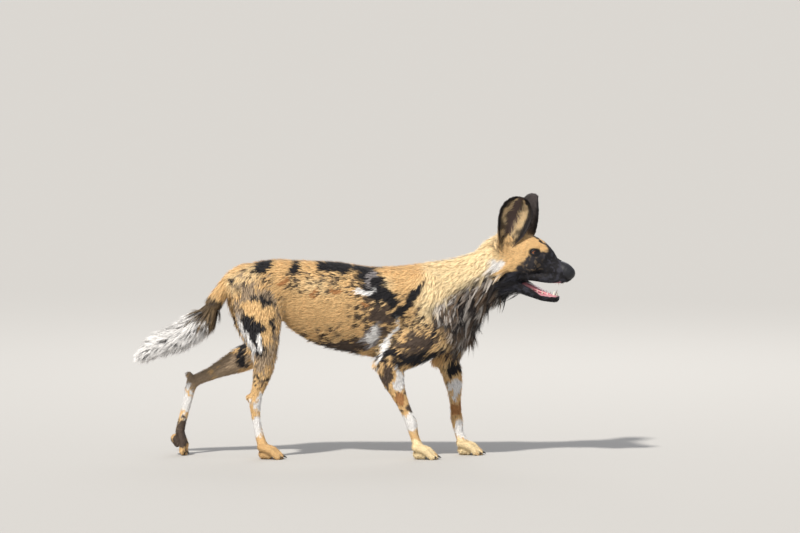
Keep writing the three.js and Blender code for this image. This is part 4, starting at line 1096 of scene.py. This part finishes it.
def ear_place(side, u, v, offset):
    """A point of the ear: u from 0 at its root to 1, v from -1 to 1 across, `offset` out of the cup."""
    shape = np.array(EAR_SHAPE)
    width = np.interp(u, shape[:, 0], shape[:, 1]) * EAR_HALF_WIDTH
    roll = np.radians(np.interp(u, shape[:, 0], shape[:, 2]))
    radius = width / np.sin(np.minimum(roll, math.pi / 2))
    flip = np.array([1, side, 1])
    root = np.array(EAR_ROOT) * flip
    along = one_unit(np.array(EAR_TIP) * flip - root)
    opens = np.array(EAR_OPENS) * flip
    opens = one_unit(opens - along * (opens @ along))
    turn = roll * v
    r = radius + offset
    across = np.outer(r * np.sin(turn), np.cross(along, opens))
    deep = np.outer(radius * 0.55 - r * np.cos(turn), opens)
    return in_head(root + np.outer(EAR_LENGTH * u, along) + across + deep)


def build_ear(side, name):
    u = 1 - (1 - np.linspace(0, 1, EAR_ROWS)) ** 1.5
    grid_u, grid_v = np.meshgrid(u, np.linspace(-1, 1, EAR_COLUMNS), indexing="ij")
    gu, gv = grid_u.ravel(), grid_v.ravel()
    thickness = 3.0 - 1.2 * gu
    wave = 0.8 * noise(np.column_stack([gu * 90, gv * 40, gu * 0]), 14, 31 + side)
    inner = ear_place(side, gu, gv, 0.4 + wave)
    outer = ear_place(side, gu, gv, thickness - 0.4 + wave)
    size = EAR_ROWS * EAR_COLUMNS
    number = np.arange(size).reshape(EAR_ROWS, EAR_COLUMNS)
    near, far = number[:-1, :-1].ravel(), number[1:, :-1].ravel()
    inner_faces = np.column_stack([near, near + 1, far + 1, far])
    outer_faces = np.column_stack([near, far, far + 1, near + 1]) + size
    rim = np.concatenate([number[:, 0], number[-1, 1:], number[-2::-1, -1], number[0, -2:0:-1]])
    following = np.roll(rim, -1)
    faces = [inner_faces, outer_faces, np.column_stack([rim, following, following + size, rim + size])]
    if side < 0:
        faces = [f[:, ::-1] for f in faces]
    obj = new_object(name, np.vstack([inner, outer]), faces)
    edge = np.abs(gv)
    inside = mix(spread_over(inner, EAR_SKIN_TONE), EAR_EDGE, step(0.62, 0.86, edge + 0.25 * (gu > 0.9)))
    # Painted shade deep inside the ear, towards its rolled root.
    inside = mix(inside, EAR_ROOT_PAINTED_SHADE, step(0.35, 0.0, gu) * 0.8)
    outside = mix(spread_over(outer, EAR_BACK), BLACK, step(0.7, 1.0, edge) * 0.8)
    outside = mix(outside, TAN, step(0.42, 0.1, gu) * 0.6)
    paint(obj, np.vstack([inside, outside]))
    shown(obj, EAR_SKIN, "ear", name)
    ear_fringe(side, name)
    ear_back(side, name)


def ear_uv(u, v):
    return np.column_stack([u, v * 0.5 + 0.5]) * EAR_UV


def ear_fringe(side, name):
    """Pale fringes inside the two edges, flecked with dark hair."""
    total = EAR_FRINGE_HAIRS
    u = rng.uniform(0.05, 0.93, total)
    front = rng.random(total) < 0.55
    v = np.where(front, 1, -1) * rng.beta(6, 2.8, total) * side * -1
    root = ear_place(side, u, v, 0.0)
    up = unit(ear_place(side, np.minimum(u + EAR_AHEAD, 1), v, 0.0) - root)
    inward = unit(ear_place(side, u, v * 0.8, 0.0) - root)
    facing = unit(np.cross(up, inward)) * side
    out = unit(ear_place(side, u, v, -6.0) - root)
    length = (rng.uniform(9, 20, total) * (1.15 - 0.7 * u))[:, None]
    way = unit(up * 0.85 + inward * rng.uniform(0.2, 0.9, total)[:, None] + out * 0.25 + jitter(total, 0.12))
    bend = root + way * length * 0.5 + out * 2.5
    pale = mix(CREAM[None], DUN, np.array([0.4]))
    colour = mix(np.tile(pale, (total, 1)), TAN, rng.random(total) * 0.7)
    flecks = noise(np.column_stack([u * 120, v * 40, v * 0]), 13, 33)
    colour = mix(colour, EAR_FRINGE_DARK, step(-0.15, 0.25, flecks) * 0.85)
    colour = mix(colour, BLACK, step(0.74, 0.86, np.abs(v) + 0.2 * (u > 0.85)) * 0.95)
    widths = np.full(total, 1.0)
    blades(name + "_fringe", root, bend, root + way * length, facing, widths, colour, ear_uv(u, v), 3)


def ear_back(side, name):
    """Short dark hair on the back of the ear."""
    total = EAR_BACK_HAIRS
    u = rng.uniform(0.03, 0.99, total)
    v = rng.uniform(-1, 1, total)
    root = ear_place(side, u, v, 2.4 - 0.8 * u)
    n = unit(ear_place(side, u, v, 8.0) - root)
    up = unit(ear_place(side, np.minimum(u + EAR_AHEAD, 1.02), v, 2.4) - root)
    length = rng.uniform(4, 7, total)[:, None]
    tip = root + unit(up + jitter(total, 0.2)) * length + n * 0.8
    bend = (root + tip) / 2 + n * 0.9
    darker = np.maximum(step(0.72, 0.98, np.abs(v)), 0.3 * rng.random(total))
    colour = mix(np.tile(EAR_BACK_HAIR, (total, 1)), BLACK, darker)
    colour = mix(colour, TAN, step(0.4, 0.1, u) * 0.6) * rng.uniform(0.8, 1.2, total)[:, None]
    blades(name + "_back", root - n * 0.3, bend, tip, n, np.full(total, 1.3), colour, ear_uv(u, v), 2)


for side, name in ((-1, "ear_right"), (1, "ear_left")):
    build_ear(side, name)


def ring_quads(rings, sides, closed=False):
    """Quads between neighbouring rings of points, and from the last ring to the first where it is closed."""
    i, j = np.meshgrid(np.arange(rings - (not closed)), np.arange(sides), indexing="ij")
    here, there, following = i * sides, (i + 1) % rings * sides, (j + 1) % sides
    corners = (here + j, here + following, there + following, there + j)
    return np.column_stack([c.ravel() for c in corners])


# Eyes: a ball with iris and pupil, and lids around an almond opening
LID_HALF_ANGLE = 0.86
UPPER_LID = 0.50
LOWER_LID = 0.40
LID_TILT = 0.12
LID_RINGS = 40
LID_SIDES = 8


def ball(centre, radius, rings=28, sides=40):
    theta = np.linspace(0, math.pi, rings + 1)[1:-1]
    phi = np.arange(sides) / sides * 2 * math.pi
    t, f = (grid.ravel() for grid in np.meshgrid(theta, phi, indexing="ij"))
    body = np.column_stack([np.sin(t) * np.cos(f), np.sin(t) * np.sin(f), np.cos(t)])
    vertices = np.vstack([body, [[0, 0, 1], [0, 0, -1]]]) * radius + centre
    j = np.arange(sides)
    following = (j + 1) % sides
    last = (rings - 2) * sides
    top = np.column_stack([np.full(sides, len(body)), j, following])
    bottom = np.column_stack([np.full(sides, len(body) + 1), last + following, last + j])
    return vertices, [ring_quads(rings - 1, sides)[:, [0, 3, 2, 1]], np.vstack([top, bottom])]


def build_eye(side, name):
    flip = np.array([1, side, 1])
    centre = in_head(EYE_AT * flip)[0]
    axis = one_unit(turn_with_head(EYE_AXIS * flip))
    vertices, faces = ball(centre, EYE_RADIUS)
    obj = new_object(name, vertices, faces)
    angle = np.arccos(np.clip(unit(vertices - centre) @ axis, -1, 1))
    iris = mix(spread_over(vertices, tone(150, 84, 34)), tone(84, 42, 18), step(0.45, 0.75, angle))
    iris = mix(iris, tone(8, 6, 6), step(0.33, 0.27, angle))
    iris = mix(iris, tone(20, 14, 12), step(0.74, 0.82, angle))
    paint(obj, iris)
    shown(obj, EYE, "eye", name)
    build_lids(side, name, centre, axis)


def build_lids(side, name, centre, axis):
    """One closed roll around the eye's opening."""
    right = one_unit(np.cross(axis, (0, 0, 1)))
    up = np.cross(right, axis)
    vertices = []
    for k in range(LID_RINGS):
        turn = 2 * math.pi * k / LID_RINGS
        c, s = math.cos(turn), math.sin(turn)
        wide = LID_HALF_ANGLE * c
        tall = (UPPER_LID if s > 0 else LOWER_LID) * s * (1 - 0.15 * abs(c))
        direction = axis + right * math.tan(wide) * 0.93 + up * (math.tan(tall) + LID_TILT * wide * side)
        direction /= np.linalg.norm(direction)
        middle = centre + direction * (EYE_RADIUS + 1.0)
        outward = one_unit(right * c * 0.7 + up * s)
        thick = 1.5 + 0.7 * max(0, s)
        for a in 2 * math.pi * np.arange(LID_SIDES) / LID_SIDES:
            vertices.append(middle + outward * (math.cos(a) + 0.6) * thick + direction * math.sin(a) * 1.3)
    lid = new_object(name + "_lids", np.array(vertices), [ring_quads(LID_RINGS, LID_SIDES, closed=True)])
    shown(lid, LID, "nose_skin")


for side, name in ((-1, "eye_right"), (1, "eye_left")):
    build_eye(side, name)


# Teeth, claws and tongue
HORN_SIDES = 10
HORN_RINGS = 7


def horn(root, tip, radius, curve=(0, 0, 0), flat=1.0):
    """A cone from root to tip that may curve."""
    root, tip, curve = (np.asarray(v, float) for v in (root, tip, curve))
    side = one_unit(np.cross(one_unit(tip - root), (0.3, 0.9, 0.2)))
    other = np.cross(one_unit(tip - root), side)
    vertices = []
    for t in np.linspace(0, 1, HORN_RINGS):
        middle = root + (tip - root) * t + curve * t * t
        r = radius * (1 - t) ** 0.75 + 0.12
        for a in 2 * math.pi * np.arange(HORN_SIDES) / HORN_SIDES:
            vertices.append(middle + side * math.cos(a) * r * flat + other * math.sin(a) * r)
    vertices += [root, tip + curve]
    s = np.arange(HORN_SIDES)
    following = (s + 1) % HORN_SIDES
    top = (HORN_RINGS - 1) * HORN_SIDES
    caps = [np.column_stack([np.full(HORN_SIDES, len(vertices) - 2), following, s]),
            np.column_stack([np.full(HORN_SIDES, len(vertices) - 1), top + s, top + following])]
    return np.array(vertices), ring_quads(HORN_RINGS, HORN_SIDES), np.vstack(caps)


def head_horn(root, tip, *size, **bend):
    return horn(in_head(root)[0], in_head(tip)[0], *size, **bend)


def joined(name, pieces):
    sets, base = [], 0
    for vertices, quads, caps in pieces:
        sets.append((vertices, quads + base, caps + base))
        base += len(vertices)
    vertices, quads, caps = (np.vstack(rows) for rows in zip(*sets))
    return new_object(name, vertices, [quads, caps])


CHEEK_TEETH = 5
teeth = []
for s in (-1, 1):
    teeth.append(head_horn((148, 8.5 * s, -107), (152, 10 * s, -86), 3.6, curve=(1.5, 0, 0)))
    teeth.append(head_horn((166, 15 * s, -58), (168, 16 * s, -73), 3.2))
    for t in np.linspace(0, 1, CHEEK_TEETH):
        x, y, z = 132 - 56 * t, (13.5 + 11 * t) * s, -104 + 13 * t
        teeth.append(head_horn((x, y, z - 2), (x, y, z + 12), 4.0, flat=0.6))
    for y in (2, 5):
        teeth.append(head_horn((154, y * s, -108), (157, y * s, -94), 1.9, flat=0.7))
shown(joined("teeth", teeth), TOOTH, "jaw_skin")

# A claw's root and tip in a toe's row, for a foot on its sole and one on tiptoe
CLAW_FLAT = ((44, 13.2, 11), (60, 13.6, 3))
CLAW_TIPTOE = ((38, 13, 18), (53, 13.4, 16))
claws = []
for leg in LEGS.values():
    for i in TOE_SPREAD:
        ends = CLAW_TIPTOE if "toes_down" in leg else CLAW_FLAT
        a, b = (np.array(toe_row(leg, i, e)) for e in ends)
        claws.append(horn(a, b + (0, 0, 2), 3.4, curve=(0, 0, -1.2)))
shown(joined("claws", claws), CLAW, "coat")

TONGUE_SIDES = 20
TONGUE_GROOVE = 1.6
rows = smooth(TONGUE, 6)
vertices = []
for x, y, z, w, h in rows:
    for a in 2 * math.pi * np.arange(TONGUE_SIDES) / TONGUE_SIDES:
        groove = TONGUE_GROOVE * math.exp(-(math.cos(a) * 3) ** 2) * (math.sin(a) > 0)
        vertices.append((x, y + math.cos(a) * (w - 0.3), z + math.sin(a) * (h - 0.3) - groove))
s = np.arange(TONGUE_SIDES)
ends = [s[::-1][None], (len(rows) - 1) * TONGUE_SIDES + s[None]]
tongue = new_object("tongue", in_head(vertices), [ring_quads(len(rows), TONGUE_SIDES)] + ends)
paint(tongue, tone(222, 150, 156))
shown(tongue, TONGUE_SKIN, "tongue", "tongue")

# Whiskers on both sides of the muzzle, swept back a little
WHISKERS = 26
WHISKER_WIDTH = 0.7
WHISKER_SWEEP = np.array([-8, 0, -5])


def apiece(low, high):
    return rng.uniform(low, high, WHISKERS)


side = rng.choice([-1, 1], WHISKERS)
root = np.column_stack([apiece(140, 180), side * apiece(22, 27), apiece(-56, -38)])
way = unit(np.column_stack([apiece(0.1, 0.6), side * apiece(0.2, 0.5), apiece(-0.6, 0.1)]))
length = apiece(12, 20)[:, None]
tip = in_head(root + way * length + WHISKER_SWEEP)
blades("whiskers", in_head(root - way * 3), in_head(root + way * length * 0.5), tip,
       turn_with_head(way[:, [1, 0, 2]]), np.full(WHISKERS, WHISKER_WIDTH), spread_over(root, BLACK),
       np.full((WHISKERS, 2), 0.5), 6)

# Studio: floor, light and camera
FLOOR_SIZE = 200
FLOOR_COLOUR = (0.43, 0.42, 0.405, 1)
SUN_STRENGTH = 4.3
SUN_WIDTH = math.radians(4)
SUN_WAY = (0.42, 0.62, -0.95)
BACK_LIGHT_AT = (0.5, 3.0, 2.6)
BACK_LIGHT_AIM = (0, 0, 0.4)
BACK_LIGHT_SIZE = 2.0
BACK_LIGHT_POWER = 30
SKY_COLOUR = (0.93, 0.95, 1, 1)
SKY_STRENGTH = 0.62
CAMERA_FAR = 25.0
CAMERA_UP = math.radians(5)
CAMERA_AIM = (120.0, 0.0, 536.0)
FRAME_WIDTH = 2.24  # metres across the picture at the dog
SENSOR = 36.0


def placed(name, data, location, way):
    """A light or camera that looks along `way`."""
    obj = bpy.data.objects.new(name, data)
    obj.location = location
    obj.rotation_euler = Vector(way).to_track_quat("-Z", "Y").to_euler()
    bpy.context.scene.collection.objects.link(obj)
    return obj


bpy.ops.mesh.primitive_plane_add(size=FLOOR_SIZE, location=(0, 0, 0))
floor = bpy.context.object
floor.name = "floor"
floor.data.materials.append(material("floor", 0.9, FLOOR_COLOUR, specular=0.1))

sun = bpy.data.lights.new("sun", "SUN")
sun.energy = SUN_STRENGTH
sun.angle = SUN_WIDTH
sun.color = (1, 0.96, 0.89)
placed("sun", sun, (0, 0, 0), SUN_WAY)
back = bpy.data.lights.new("back", "AREA")
back.size = BACK_LIGHT_SIZE
back.energy = BACK_LIGHT_POWER
placed("back", back, BACK_LIGHT_AT, Vector(BACK_LIGHT_AIM) - Vector(BACK_LIGHT_AT))
world = bpy.data.worlds.new("studio")
bpy.context.scene.world = world
world.use_nodes = True
world.node_tree.nodes["Background"].inputs["Color"].default_value = SKY_COLOUR
world.node_tree.nodes["Background"].inputs["Strength"].default_value = SKY_STRENGTH
bpy.context.scene.view_settings.view_transform = "Standard"

camera_data = bpy.data.cameras.new("camera")
camera_data.sensor_width = SENSOR
camera_data.lens = SENSOR * CAMERA_FAR / FRAME_WIDTH
camera_data.clip_end = 200
outward = Vector((0, -math.cos(CAMERA_UP), math.sin(CAMERA_UP)))
aim = Vector(metres(CAMERA_AIM))
bpy.context.scene.camera = placed("camera", camera_data, aim + outward * CAMERA_FAR, -outward)
